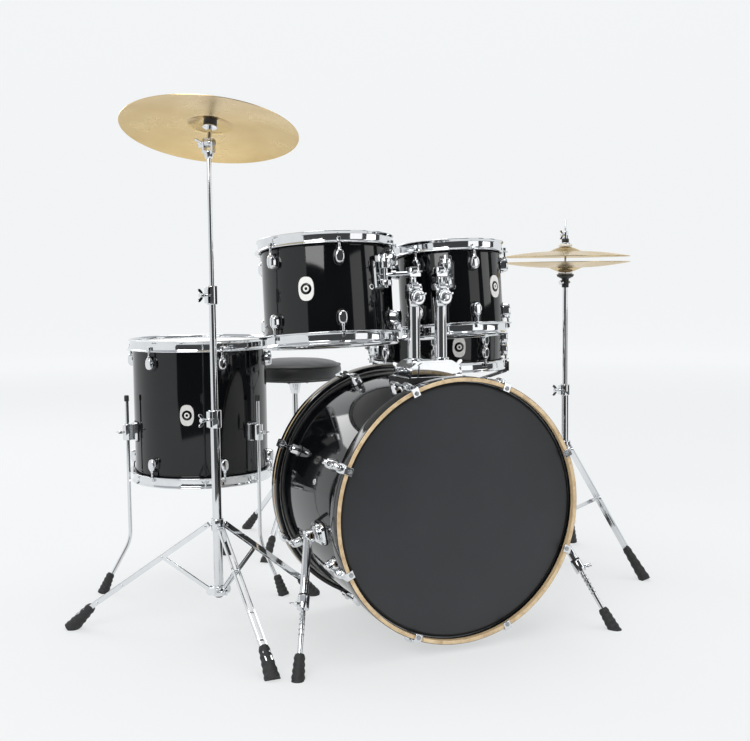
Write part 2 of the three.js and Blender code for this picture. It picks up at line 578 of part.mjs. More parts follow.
const cupZ = HIHAT.bottomRim - 39.5;
piece('hihat_upper_tube', chrome, cut(join([
  upright(hatAxis(330), hatAxis(HIHAT.bottomRim - 50), HIHAT.upperTube),
  disc(24, cupZ - 4, cupZ + 12, 16),
  rod(vec(-14, 0, cupZ - 16), vec(14, 0, cupZ - 16), 6, 8),
  upright(hatAxis(cupZ - 30), hatAxis(cupZ), 10),
]), [rodPath]), hatHolder);

const { from: boardHeel, to: boardToe, thick: boardThick, wide: boardWide } = HAT_BOARD;
piece('hihat_footboard', chrome, join([
  bar(vec(...boardHeel), vec(...boardToe), boardThick, boardWide).rotateZ(rad(HIHAT.pedalAngle)),
]), hatHolder);

piece('hihat_rod_and_clutch', chrome, join([
  upright(hatAxis(HIHAT.rodFoot), hatAxis(HIHAT.rodTop), 3, 8),
  upright(hatAxis(HIHAT.topRim + 27.5), hatAxis(HIHAT.topRim + 40), 20, 12),
  upright(hatAxis(HIHAT.topRim + 38), hatAxis(HIHAT.topRim + 70), 8, 10),
  ...clampWing(hatAxis(HIHAT.topRim + 60), 200, 24),
  upright(hatAxis(HIHAT.topRim + 8), hatAxis(HIHAT.topRim + 34), 6, 8),
  upright(hatAxis(HIHAT.topRim + 8), hatAxis(HIHAT.topRim + 24.5), 13, 10),
]), hatHolder);

const hatCymbal = () => cymbal(HIHAT.radius, 27, 7.5, 24);
piece('hihat_cymbal_top', bronze, join([hatCymbal().translate(0, 0, HIHAT.topRim)]), hatHolder);
piece('hihat_cymbal_bottom', bronze,
  join([hatCymbal().rotateX(Math.PI).translate(0, 0, HIHAT.bottomRim)]), hatHolder);

// ---------------------------------------------------------------- kick pedal
const pedalSide = [-1, 1];
const { plate } = PEDAL;
piece('kick_pedal_frame', chrome, join([
  block([0, plate.middle, plate.from + plate.thick / 2], [plate.width, plate.length, plate.thick]),
  ...pedalSide.flatMap((side) => [-1, 1].map((end) => block(
    [(side * (plate.width - PEDAL.foot)) / 2, plate.middle + (end * (plate.length - PEDAL.foot)) / 2,
      plate.from / 2 + 0.5], [PEDAL.foot, PEDAL.foot, plate.from + 1]))),
  block([0, 200, 9], [70, 44, 10]),
  ...pedalSide.map((side) => block([side * PEDAL.half, PEDAL.axleY, 108], [10, 18, 204])),
  block([0, PEDAL.axleY, 8], [106, 22, 8]),
  ...pedalSide.map((side) => block([side * 34, PEDAL.heelY, 16], [12, 24, 20])),
]));
const toe = vec(0, PEDAL.axleY + 26, 92);
const heel = vec(0, PEDAL.heelY - 4, 30);
piece('kick_footboard', chrome, join([
  bar(heel, toe, 5, 64),
  rod(vec(-26, PEDAL.heelY, 24), vec(26, PEDAL.heelY, 24), 5, 8),
  bar(vec(0, PEDAL.heelY + 2, 25), heel.clone().add(vec(0, -8, 2)), 6, 46),
]));
const beaterHolder = group(0, PEDAL.axleY, PEDAL.axleZ);
beaterHolder.rotation.x = rad(-PEDAL.lean);
piece('kick_beater', felt, join([
  rod(vec(-PEDAL.half + 5.5, 0, 0), vec(PEDAL.half - 5.5, 0, 0), 7, 10),
  block([0, 0, 0], [24, 34, 34]),
  rod(vec(0, 0, 0), vec(0, 0, PEDAL.beater), 4, 8),
  rod(vec(0, -22, PEDAL.beater), vec(0, 22, PEDAL.beater), 20, 12),
]), beaterHolder);

// ---------------------------------------------------------------- throne
const [throneX, throneY] = THRONE_AT;
const seatBase = THRONE.seatTop - THRONE.seatThick;
const throneHolder = group(throneX, throneY, 0);
const seatRound = 14;
piece('throne_seat', vinyl, join([lathe([
  [0, seatBase], [THRONE.seatRadius - 6, seatBase], [THRONE.seatRadius, seatBase + 6],
  [THRONE.seatRadius, THRONE.seatTop - seatRound], [THRONE.seatRadius - seatRound, THRONE.seatTop],
  [0, THRONE.seatTop],
], 32)]), throneHolder);
piece('throne_stand', chrome, aboveFloor(join([
  disc(55, seatBase - 6, seatBase - GAP, 16),
  upright(hatAxis(seatBase - 40), hatAxis(seatBase - 4), 18),
  upright(hatAxis(120), hatAxis(seatBase - 10), 9),
  upright(hatAxis(110), hatAxis(330), 12.5),
  upright(hatAxis(312), hatAxis(340), 18),
  upright(hatAxis(236), hatAxis(264), 19),
  ...tripod(0, 0, { collar: 250, footRadius: THRONE.footRadius, footAngle: THRONE.footAngle,
    braceAt: 0.42, hub: 120 }),
])), throneHolder);

export default kit;
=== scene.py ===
"""Five-piece acoustic drum kit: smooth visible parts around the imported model."""

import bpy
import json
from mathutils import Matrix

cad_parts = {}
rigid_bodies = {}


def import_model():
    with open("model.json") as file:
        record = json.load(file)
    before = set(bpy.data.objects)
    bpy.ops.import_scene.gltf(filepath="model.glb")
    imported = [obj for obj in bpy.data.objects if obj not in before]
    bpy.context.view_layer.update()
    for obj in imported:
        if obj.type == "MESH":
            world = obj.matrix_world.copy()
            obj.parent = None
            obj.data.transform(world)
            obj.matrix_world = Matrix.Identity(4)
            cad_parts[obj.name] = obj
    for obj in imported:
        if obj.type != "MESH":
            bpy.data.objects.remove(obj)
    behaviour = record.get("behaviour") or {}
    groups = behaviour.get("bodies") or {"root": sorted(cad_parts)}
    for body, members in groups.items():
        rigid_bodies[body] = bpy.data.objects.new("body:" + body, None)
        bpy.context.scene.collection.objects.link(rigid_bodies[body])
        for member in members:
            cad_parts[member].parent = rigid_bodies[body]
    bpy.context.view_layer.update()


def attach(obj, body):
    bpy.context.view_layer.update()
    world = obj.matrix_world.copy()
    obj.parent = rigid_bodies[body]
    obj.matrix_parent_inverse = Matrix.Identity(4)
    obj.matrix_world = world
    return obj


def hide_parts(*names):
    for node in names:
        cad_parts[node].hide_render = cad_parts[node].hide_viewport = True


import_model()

import json
import math

import bmesh
import bpy
from mathutils import Matrix, Vector

# ------------------------------------------------------------ sizes, in millimetres, kit frame
INCH = 25.4
KIT_SHIFT = Vector((-6, -463, 0))
RACK_LARGE = dict(r=6 * INCH, depth=9 * INCH, lugs=6, first=-160)
RACK_SMALL = dict(r=5 * INCH, depth=8 * INCH, lugs=6, first=-151)
FLOOR_TOM = dict(r=7 * INCH, depth=14 * INCH, lugs=6, first=-147)
SNARE = dict(r=7 * INCH, depth=4.5 * INCH, lugs=8, first=-164)
LUG_DROP, LUG_HEIGHT, LUG_WIDTH = 46, 37, 24
ROD_OFFSET = 12
BASS_R, BASS_HALF, BASS_Z = 11 * INCH, 8 * INCH, 312
BASS_LUGS, BASS_FIRST, BASS_LUG_AT = 8, 22.5, 116
SHELL_WALL, MOUNT_TOP, WING_Z, RATCHET_TEETH = 7, 636, 615, 20
BASS_ROD = BASS_R + 20.5
HOOP_R, HOOP_WIDE, HOOP_PROUD = 295, 38, 16
POST_R, POST_X, POST_Y, PIVOT_Z, ARM_LEVEL, ARM_REACH = 14, 34, -50, 800, 32, 62
RACK_TILT, RACK_Z, BRACKET_OFFSET = 6, 806, 22
LARGE_SIDE = dict(name="left", x=-34, arm=160, drum=119)
SMALL_SIDE = dict(name="right", x=34, arm=49, drum=60)
SPUR_ANGLE, SPUR_Y, SPUR_R, SPUR_FOOT = 10, -72, 311, (390, -232)
FLOOR_TOM_AT = (-366, 605, 477)
LEG_ANGLES, LEG_R, LEG_TOP, LEG_BEND, LEG_FOOT, LEG_CLAMP = (-58, 62, 182), 5, 521, 135, 280, 424
SNARE_AT, THROW_OFF = (275, 450, 637), 173.5
CRASH_AT, CRASH_R, CRASH_LEAN, CRASH_TILT, CRASH_PIVOT = (-450, 150), 8 * INCH, 52, 15, 1132
CRASH_STEM, CRASH_COLLAR, CRASH_FOOT, CRASH_BRACE, CRASH_HUB = 56, 254, 360, 137, 20
CRASH_LOW, CRASH_HIGH, CRASH_NECK, CRASH_LEG = 481, 766, 1110, -88
HAT_AT, HAT_R, HAT_TOP, HAT_BOTTOM, HAT_ROD = (615, 327), 7 * INCH, 876, 859, 978
HAT_FOOT, HAT_LEG, HAT_COLLAR, HAT_CLAMP, HAT_PEDAL, HAT_ROD_FOOT = 264, -68, 342, 485, 135, 578
THRONE_AT, SEAT_R, SEAT_TOP, SEAT_THICK = (11, 913), 150, 572, 62
THRONE_FOOT, THRONE_LEG = 268, -10
AXLE_Y, AXLE_Z, PEDAL_HALF, HEEL_Y, BEATER, BEATER_LEAN = 305, 200, 48, 500, 190, 25
BEATER_SPOT = 83

I4 = Matrix.Identity(4)
OUTWARD = Matrix(((0, 0, 1, 0), (1, 0, 0, 0), (0, 1, 0, 0), (0, 0, 0, 1)))


def move(x=0, y=0, z=0):
    return Matrix.Translation((x, y, z))


def turn(degrees, axis="Z"):
    return Matrix.Rotation(math.radians(degrees), 4, axis)


def polar(radius, degrees, z=0):
    a = math.radians(degrees)
    return Vector((radius * math.cos(a), radius * math.sin(a), z))


def radial(degrees, radius, z=0):
    """A frame on a drum's side: X runs round it, Y up it and Z out of it."""
    return turn(degrees) @ move(radius, 0, z) @ OUTWARD


def along(a, b):
    """A frame at a whose Z points to b."""
    a, b = Vector(a), Vector(b)
    return Matrix.Translation(a) @ (b - a).to_track_quat("Z", "Y").to_matrix().to_4x4()


def soften(profile, radius=1.0, loop=True, steps=3):
    """Rounds the corners of a polyline."""
    pts = [Vector(p) for p in profile]
    out = []
    for i, p in enumerate(pts):
        if not loop and i in (0, len(pts) - 1):
            out.append(p)
            continue
        a, b = pts[i - 1] - p, pts[(i + 1) % len(pts)] - p
        cut = min(radius, a.length * 0.45, b.length * 0.45)
        start, end = p + a.normalized() * cut, p + b.normalized() * cut
        for k in range(steps + 1):
            t = k / steps
            out.append(start * (1 - t) ** 2 + p * 2 * t * (1 - t) + end * t * t)
    return [tuple(p) for p in out]


def plate(low, high, y0, y1, radius):
    """A rounded outline, `low` to each side at y0 and `high` at y1."""
    return soften([(-low, y0), (low, y0), (high, y1), (-high, y1)], radius)


def ellipse(a, b, count=28, power=2.0):
    out = []
    for k in range(count):
        t = 2 * math.pi * k / count
        c, s = math.cos(t), math.sin(t)
        out.append((a * math.copysign(abs(c) ** (2 / power), c),
            b * math.copysign(abs(s) ** (2 / power), s)))
    return out


class Shape:
    """Closed surfaces in millimetres, each with its own material name, chrome if none is given."""

    def __init__(self):
        self.bm, self.paints = bmesh.new(), []

    def loft(self, rings, paint, at=I4, loop=False):
        if paint not in self.paints:
            self.paints.append(paint)
        index = self.paints.index(paint)
        made = [[self.bm.verts.new(at @ Vector(p)) for p in ring] for ring in rings]
        faces = []
        for a, b in zip(made, made[1:] + ([made[0]] if loop else [])):
            for i in range(max(len(a), len(b))):
                corners = []
                for v in (a[i % len(a)], a[(i + 1) % len(a)], b[(i + 1) % len(b)], b[i % len(b)]):
                    if v not in corners:
                        corners.append(v)
                faces.append(corners)
        if not loop:
            faces += [end for end in (made[0], made[-1]) if len(end) > 2]
        for corners in faces:
            face = self.bm.faces.new(corners)
            face.material_index, face.smooth = index, True

    def lathe(self, profile, paint="chrome", at=I4, sides=48):
        rings = [[(0, 0, z)] if r < 1e-6 else [tuple(polar(r, 360 * k / sides,
            z)) for k in range(sides)] for r, z in profile]
        self.loft(rings, paint, at, loop=profile[0][0] > 1e-6)

    def disc(self, r, z0, z1, paint="chrome", at=I4, sides=48, soft=1.0):
        outer = soften([(0, z0), (r, z0), (r, z1), (0, z1)], soft, loop=False)
        self.lathe(outer, paint, at, sides)

    def ring(self, r0, r1, z0, z1, paint="chrome", at=I4, sides=64, soft=1.0):
        self.lathe(soften([(r0, z0), (r1, z0), (r1, z1), (r0, z1)], soft), paint, at, sides)

    def rod(self, a, b, radius, paint="chrome", at=I4, sides=20, end=None, soft=0.8):
        length = (Vector(b) - Vector(a)).length
        end = radius if end is None else end
        outline = soften([(0, 0), (radius, 0), (end, length), (0, length)], soft, loop=False)
        self.lathe(outline, paint, at @ along(a, b), sides)

    def tube(self, path, radius, paint="chrome", at=I4, sides=14, loop=False):
        """A round bar along a path, turned as little as possible between points."""
        pts = [Vector(p) for p in path]
        count = len(pts)
        normal, rings = None, []
        for i, p in enumerate(pts):
            before = pts[i - 1] if i or loop else p
            after = pts[(i + 1) % count] if i < count - 1 or loop else p
            direction = (after - before).normalized()
            if normal is None:
                normal = direction.orthogonal().normalized()
            normal = (normal - direction * normal.dot(direction)).normalized()
            other = direction.cross(normal)
            rings.append([p + normal * radius * math.cos(2 * math.pi * k / sides)
                          + other * radius * math.sin(2 * math.pi * k / sides)
                          for k in range(sides)])
        self.loft(rings, paint, at, loop=loop)

    def prism(self, outline, z0, z1, paint="chrome", at=I4, taper=1.0):
        self.loft([[(x, y, z0) for x, y in outline], [(x * taper, y * taper, z1) for x,
            y in outline]], paint, at)

    def box(self, center, size, paint="chrome", at=I4):
        x, y, z = (s / 2 for s in size)
        self.prism([(-x, -y), (x, -y), (x, y), (-x, y)], -z, z, paint, at @ move(*center))

    def bar(self, a, b, across, tall, paint="chrome", at=I4, shift=0.0):
        """A flat bar: `across` is its level width and `tall` its depth in the upright plane."""
        a, b = Vector(a), Vector(b)
        z = (b - a).normalized()
        x = z.cross(Vector((0, 0, 1))).normalized()
        y = z.cross(x)
        m = Matrix((x, y, z)).transposed().to_4x4()
        m.translation = a + x * shift
        length = (b - a).length
        s, t = across / 2, tall / 2
        self.prism([(-s, -t), (s, -t), (s, t), (-s, t)], 0, length, paint, at @ m)

    def dome(self, width, height, reach, paint="chrome", at=I4, power=2.4, flat=0.55):
        """A rounded cover that rises `reach` from its base."""
        rings = []
        for k in range(7):
            t = k / 6 * math.pi / 2
            grow = flat + (1 - flat) * math.cos(t) ** 0.8
            rings.append([(x * grow, y * grow, reach * math.sin(t)) for x, y in ellipse(width / 2,
                height / 2, 28, power)])
        self.loft(rings, paint, at)

    def wing(self, at, paint="chrome", size=1.0):
        """A wing nut whose bolt runs along Z."""
        self.disc(6.2 * size, 0, 11 * size, paint, at, 20)
        ear = [(4, 1), (9, 1.5), (17, 9), (18.5, 15), (15.5, 18), (11, 16.5), (6.5, 10), (4, 9.5)]
        for side in (1, -1):
            outline = soften([(side * x * size, z * size) for x, z in ear], 2 * size)
            self.prism(outline, -1.7 * size, 1.7 * size, paint, at @ turn(90, "X"))

    def boot(self, a, b, start, end, paint="rubber"):
        """A ribbed rubber foot round the end of a leg."""
        a, b = Vector(a), Vector(b)
        length = (b - a).length
        profile = [(0, 0), (start - 2, 0)]
        ribs = 5
        for k in range(ribs * 2 + 1):
            t = k / (ribs * 2)
            rib = 0.9 if k % 2 else -0.9
            profile.append((start + (end - start) * t + rib, 2 + t * (length - 2)))
        profile += [(end + 0.6, length), (0, length)]
        self.lathe(soften(profile, 1.2, loop=False), paint, along(a, b), 28)

    def cut_floor(self, z=0.0):
        """Cuts off what lies under the floor and closes the cut."""
        geometry = self.bm.verts[:] + self.bm.edges[:] + self.bm.faces[:]
        bmesh.ops.bisect_plane(self.bm, geom=geometry, plane_co=(0, 0, z), plane_no=(0, 0, -1),
            clear_outer=True)
        rim = [e for e in self.bm.edges if e.is_boundary]
        if rim:
            bmesh.ops.holes_fill(self.bm, edges=rim, sides=0)


# ------------------------------------------------------------ materials
PAINTS = {}


def new_paint(name, colour, rough, metal=0.0, coat=0.0, sheen=0.0):
    mat = bpy.data.materials.new(name)
    mat.use_nodes = True
    shader = mat.node_tree.nodes["Principled BSDF"]
    for socket, value in (("Base Color", (*colour, 1)), ("Roughness", rough), ("Metallic", metal),
                          ("Coat Weight", coat), ("Coat Roughness", 0.04),
                          ("Sheen Weight", sheen)):
        shader.inputs[socket].default_value = value
    PAINTS[name] = mat
    return mat.node_tree, shader


def texture(tree, kind, scale, stretch=(1, 1, 1), **values):
    """A procedural texture on the piece's own coordinates."""
    coords = tree.nodes.new("ShaderNodeTexCoord")
    mapping = tree.nodes.new("ShaderNodeMapping")
    mapping.inputs["Scale"].default_value = stretch
    node = tree.nodes.new(kind)
    node.inputs["Scale"].default_value = scale
    for key, value in values.items():
        if key in node.inputs:
            node.inputs[key].default_value = value
        else:
            setattr(node, key, value)
    tree.links.new(coords.outputs["Object"], mapping.inputs["Vector"])
    tree.links.new(mapping.outputs["Vector"], node.inputs["Vector"])
    return node.outputs[0]


def ramp(tree, source, stops, sockets):
    node = tree.nodes.new("ShaderNodeValToRGB")
    tree.links.new(source, node.inputs[0])
    elements = node.color_ramp.elements
    for k, (position, value) in enumerate(stops):
        element = elements[k] if k < 2 else elements.new(position)
        element.position = position
        element.color = (value, value, value, 1) if isinstance(value, float) else (*value, 1)
    for socket in sockets:
        tree.links.new(node.outputs[0], socket)


def bump(tree, shader, source, strength, distance, under=None):
    node = tree.nodes.new("ShaderNodeBump")
    node.inputs["Strength"].default_value = strength
    node.inputs["Distance"].default_value = distance
    tree.links.new(source, node.inputs["Height"])
    if under is not None:
        tree.links.new(under, node.inputs["Normal"])
    tree.links.new(node.outputs[0], shader.inputs["Normal"])
    return node.outputs[0]


def grained(name, colour, other, rough, far_rough, scale, fine, depth, metal=0.0, coat=0.0,
            sheen=0.0, stretch=(1, 1, 1)):
    """Colour and roughness drift with a broad noise; a fine noise gives the surface its grain."""
    tree, shader = new_paint(name, colour, rough, metal, coat, sheen)
    broad = texture(tree, "ShaderNodeTexNoise", scale, stretch, Detail=5.0, Roughness=0.6)
    ramp(tree, broad, [(0.35, colour), (0.7, other)], [shader.inputs["Base Color"]])
    ramp(tree, broad, [(0.3, rough), (0.72, far_rough)], [shader.inputs["Roughness"]])
    grain = texture(tree, "ShaderNodeTexNoise", fine, stretch, Detail=3.0)
    bump(tree, shader, grain, 0.35, depth)
    return tree, shader


def make_paints():
    grained("lacquer", (0.0012, 0.0016, 0.0022), (0.003, 0.0034, 0.004), 0.045, 0.075, 3.0, 900,
        0.00001)
    grained("hoop_black", (0.003, 0.003, 0.0034), (0.006, 0.006, 0.006), 0.08, 0.14, 5.0, 900,
        0.00002)
    grained("chrome", (0.80, 0.815, 0.83), (0.72, 0.735, 0.755), 0.03, 0.08, 14.0, 700, 0.00002,
        metal=1.0)
    grained("tubing", (0.78, 0.79, 0.805), (0.69, 0.705, 0.72), 0.04, 0.11, 18.0, 500, 0.00003,
        metal=1.0, stretch=(1, 1, 0.06))
    grained("steel", (0.42, 0.43, 0.44), (0.3, 0.31, 0.32), 0.26, 0.4, 30.0, 700, 0.00008,
        metal=1.0)
    grained("rubber", (0.011, 0.011, 0.012), (0.022, 0.022, 0.023), 0.55, 0.75, 40.0, 1400, 0.0002)
    grained("black_part", (0.010, 0.010, 0.011), (0.018, 0.018, 0.018), 0.35, 0.5, 30.0, 900,
        0.0001)
    grained("skin_white", (0.83, 0.825, 0.80), (0.76, 0.755, 0.73), 0.55, 0.7, 7.0, 1500, 0.00012)
    grained("skin_black", (0.014, 0.016, 0.019), (0.020, 0.022, 0.026), 0.38, 0.48, 4.0, 1300,
        0.0001)
    grained("felt_white", (0.72, 0.70, 0.64), (0.58, 0.56, 0.5), 0.95, 1.0, 120.0, 1600, 0.0012,
        sheen=0.5)
    grained("felt_black", (0.013, 0.013, 0.014), (0.03, 0.03, 0.03), 0.9, 1.0, 120.0, 1600, 0.001,
        sheen=0.4)
    grained("badge", (0.84, 0.83, 0.80), (0.74, 0.73, 0.70), 0.3, 0.42, 60.0, 1500, 0.00003,
        metal=0.4)

    # Wood: long grain that runs round the hoop, broken by broad drift.
    tree, shader = new_paint("maple", (0.6, 0.4, 0.2), 0.35, coat=0.5)
    grain = texture(tree, "ShaderNodeTexNoise", 60.0, (1, 1, 9), Detail=8.0, Distortion=0.6)
    ramp(tree, grain, [(0.32, (0.42, 0.29, 0.155)), (0.5, (0.56, 0.41, 0.235)), (0.72, (0.66, 0.51,
        0.31))], [shader.inputs["Base Color"]])
    ramp(tree, grain, [(0.3, 0.32), (0.75, 0.5)], [shader.inputs["Roughness"]])
    bump(tree, shader, grain, 0.3, 0.0002)

    # Bronze: fine turned grooves about the cymbal's own axis, with a slow tarnish.
    tree, shader = new_paint("bronze", (0.8, 0.55, 0.22), 0.25, metal=1.0)
    tarnish = texture(tree, "ShaderNodeTexNoise", 7.0, (1, 1, 1), Detail=6.0)
    ramp(tree, tarnish, [(0.3, (0.73, 0.56, 0.29)), (0.55, (0.66, 0.49, 0.235)), (0.8, (0.58, 0.41,
        0.18))], [shader.inputs["Base Color"]])
    ramp(tree, tarnish, [(0.3, 0.24), (0.8, 0.34)], [shader.inputs["Roughness"]])
    fine = texture(tree, "ShaderNodeTexWave", 50.0, wave_type="RINGS", rings_direction="Z",
        Distortion=0.0)
    wide = texture(tree, "ShaderNodeTexWave", 17.0, wave_type="RINGS", rings_direction="Z",
        Distortion=0.0)
    turned = tree.nodes.new("ShaderNodeTangent")
    turned.direction_type, turned.axis = "RADIAL", "Z"
    tree.links.new(turned.outputs[0], shader.inputs["Tangent"])
    shader.inputs["Anisotropic"].default_value = 0.6
    first = bump(tree, shader, fine, 0.3, 0.00012)
    bump(tree, shader, wide, 0.2, 0.0002, under=first)

    # Seat cover: small raised leather cells under a soft sheen.
    tree, shader = new_paint("vinyl", (0.012, 0.012, 0.013), 0.42, sheen=0.15)
    cells = texture(tree, "ShaderNodeTexVoronoi", 620.0, feature="DISTANCE_TO_EDGE")
    wear = texture(tree, "ShaderNodeTexNoise", 9.0, Detail=5.0)
    ramp(tree, wear, [(0.3, (0.010, 0.010, 0.011)), (0.75, (0.02, 0.02, 0.021))],
        [shader.inputs["Base Color"]])
    ramp(tree, wear, [(0.3, 0.36), (0.75, 0.52)], [shader.inputs["Roughness"]])
    bump(tree, shader, cells, 0.5, 0.0006)


make_paints()


# ------------------------------------------------------------ pieces
def in_metres(at):
    out = at.copy()
    out.translation = (at.translation + KIT_SHIFT) * 0.001
    return out


def piece(name, shape, body, stands_for=(), at=I4, bevel=0.0, angle=34):
    """Turns a shape into an object that rides on a CAD body."""
    bm = shape.bm
    bmesh.ops.recalc_face_normals(bm, faces=bm.faces)
    mesh = bpy.data.meshes.new(name)
    bm.to_mesh(mesh)
    bm.free()
    mesh.transform(Matrix.Scale(0.001, 4))
    mesh.set_sharp_from_angle(angle=math.radians(angle))
    for paint in shape.paints:
        mesh.materials.append(PAINTS[paint])
    obj = bpy.data.objects.new(name, mesh)
    bpy.context.scene.collection.objects.link(obj)
    obj.matrix_world = in_metres(at)
    if bevel:
        modifier = obj.modifiers.new("edges", "BEVEL")
        modifier.width, modifier.segments = bevel * 0.001, 2
        modifier.limit_method, modifier.angle_limit = "ANGLE", math.radians(40)
    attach(obj, body)
    if stands_for:
        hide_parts(*([stands_for] if isinstance(stands_for, str) else stands_for))
    return obj


# ------------------------------------------------------------ drums
def add_lug(s, at, width, height, reach):
    s.prism(ellipse(width / 2 + 1.2, height / 2 + 1.2, 32, 2.3), -1.5, 0.9, "rubber", at)
    s.dome(width, height, reach, at=at @ move(0, 0, 0.5))


def add_badge(s, at):
    s.prism(ellipse(18, 27, 48, 2.6), -3, 1.6, "badge", at)
    s.disc(13, 0.5, 2.2, "hoop_black", at, 40, 0.4)
    s.lathe(soften([(3, 0.5), (7.5, 0.5), (7, 3.4), (3.6, 3.4)], 0.8), "badge", at, 32)


def add_vent(s, at):
    s.lathe(soften([(3.2, -1), (7.4, -1), (6.6, 1.8), (3.8, 1.8)], 0.7), "chrome", at, 28)
    s.disc(3.4, -1, 0.4, "rubber", at, 20, 0.2)


def drum_shell(drum, badge, vent, paired=True):
    s = Shape()
    r, half = drum["r"], drum["depth"] / 2
    s.ring(r - SHELL_WALL, r, -half, half, "lacquer", sides=128, soft=1.5)
    for i in range(drum["lugs"]):
        angle = drum["first"] + i * 360 / drum["lugs"]
        if paired:
            for side in (1, -1):
                z = side * (half - LUG_DROP)
                add_lug(s, radial(angle, r, z), LUG_WIDTH, LUG_HEIGHT, 18)
                s.rod(polar(r + ROD_OFFSET, angle, z + side * 4), polar(r + ROD_OFFSET, angle,
                    z + side * 20), 5, sides=18, end=4.2)
        else:
            for side in (1, -1):
                at = radial(angle, r, side * 17)
                add_lug(s, at, 22, 36, 17)
                s.rod(polar(r + ROD_OFFSET, angle, side * 12), polar(r + ROD_OFFSET, angle,
                    side * 35), 5, sides=18, end=4.4)
            s.rod(polar(r + 10, angle, -22), polar(r + 10, angle, 22), 5.6, sides=18)
    add_badge(s, radial(badge, r))
    add_vent(s, radial(vent, r))
    return s


def metal_hoop(s, drum, side, rod_end):
    """A triple-flanged hoop with its key rods; at z = 0 is the bearing edge."""
    r = drum["r"]
    at = move(0, 0, side * drum["depth"] / 2) @ Matrix.Diagonal((1, 1, side, 1))
    wall = [(r + 5.2, -15.8), (r + 15.6, -15.8), (r + 15.6, -13.2), (r + 8.6, -12.4), (r + 7.2,
        -9), (r + 7.2, 5), (r + 10.8, 10.2), (r + 10.6, 12), (r + 8.2, 11.8), (r + 5.2, 7)]
    s.lathe(soften(wall, 1.2), "chrome", at, 128)
    ear = soften([(5.5, -12), (20, -7.5), (20, 7.5), (5.5, 12)], 4)
    for i in range(drum["lugs"]):
        angle = drum["first"] + i * 360 / drum["lugs"]
        local = at @ turn(angle) @ move(r)
        s.prism(ear, -16, -12.6, at=local)
        s.disc(5.2, -12.7, -11.3, "chrome", local @ move(ROD_OFFSET), 20, 0.4)
        s.box((ROD_OFFSET, 0, -7.2), (6.4, 6.4, 8.4), at=local)
        s.rod((ROD_OFFSET, 0, rod_end), (ROD_OFFSET, 0, -11), 2.9, "chrome", local, 14)


def drum_head(s, drum, side, paint="skin_white"):
    r = drum["r"]
    at = move(0, 0, side * drum["depth"] / 2) @ Matrix.Diagonal((1, 1, side, 1))
    skin = [(0, 0.5), (r - 6, 0.5), (r + 0.6, -1.5), (r + 0.6, -9), (r + 3, -9), (r + 3, -2.5),
        (r - 3, 1.4), (0, 1.4)]
    s.lathe(soften(skin, 1.2, loop=False), paint, at, 128)
    s.ring(r + 2.6, r + 4.7, -9.8, -4, "steel", at, 128, 0.6)


def add_drum(name, drum, at, body, badge, vent, shell_extras=None):
    s = drum_shell(drum, badge, vent)
    if shell_extras:
        shell_extras(s)
    piece(f"{name}_drum_shell", s, body, f"{name}_shell", at, bevel=0.5)
    for end, side in (("top", 1), ("bottom", -1)):
        s = Shape()
        metal_hoop(s, drum, side, LUG_HEIGHT / 2 - LUG_DROP - 3)
        piece(f"{name}_flanged_hoop_{end}", s, body, f"{name}_hoop_{end}", at, bevel=0.5)
        s = Shape()
        drum_head(s, drum, side)
        piece(f"{name}_skin_{end}", s, body, f"{name}_head_{end}", at)


# ------------------------------------------------------------ bass drum
BASS_AT = move(0, 0, BASS_Z) @ turn(90, "X")


def bass_angles():
    return [BASS_FIRST + i * 360 / BASS_LUGS for i in range(BASS_LUGS)]


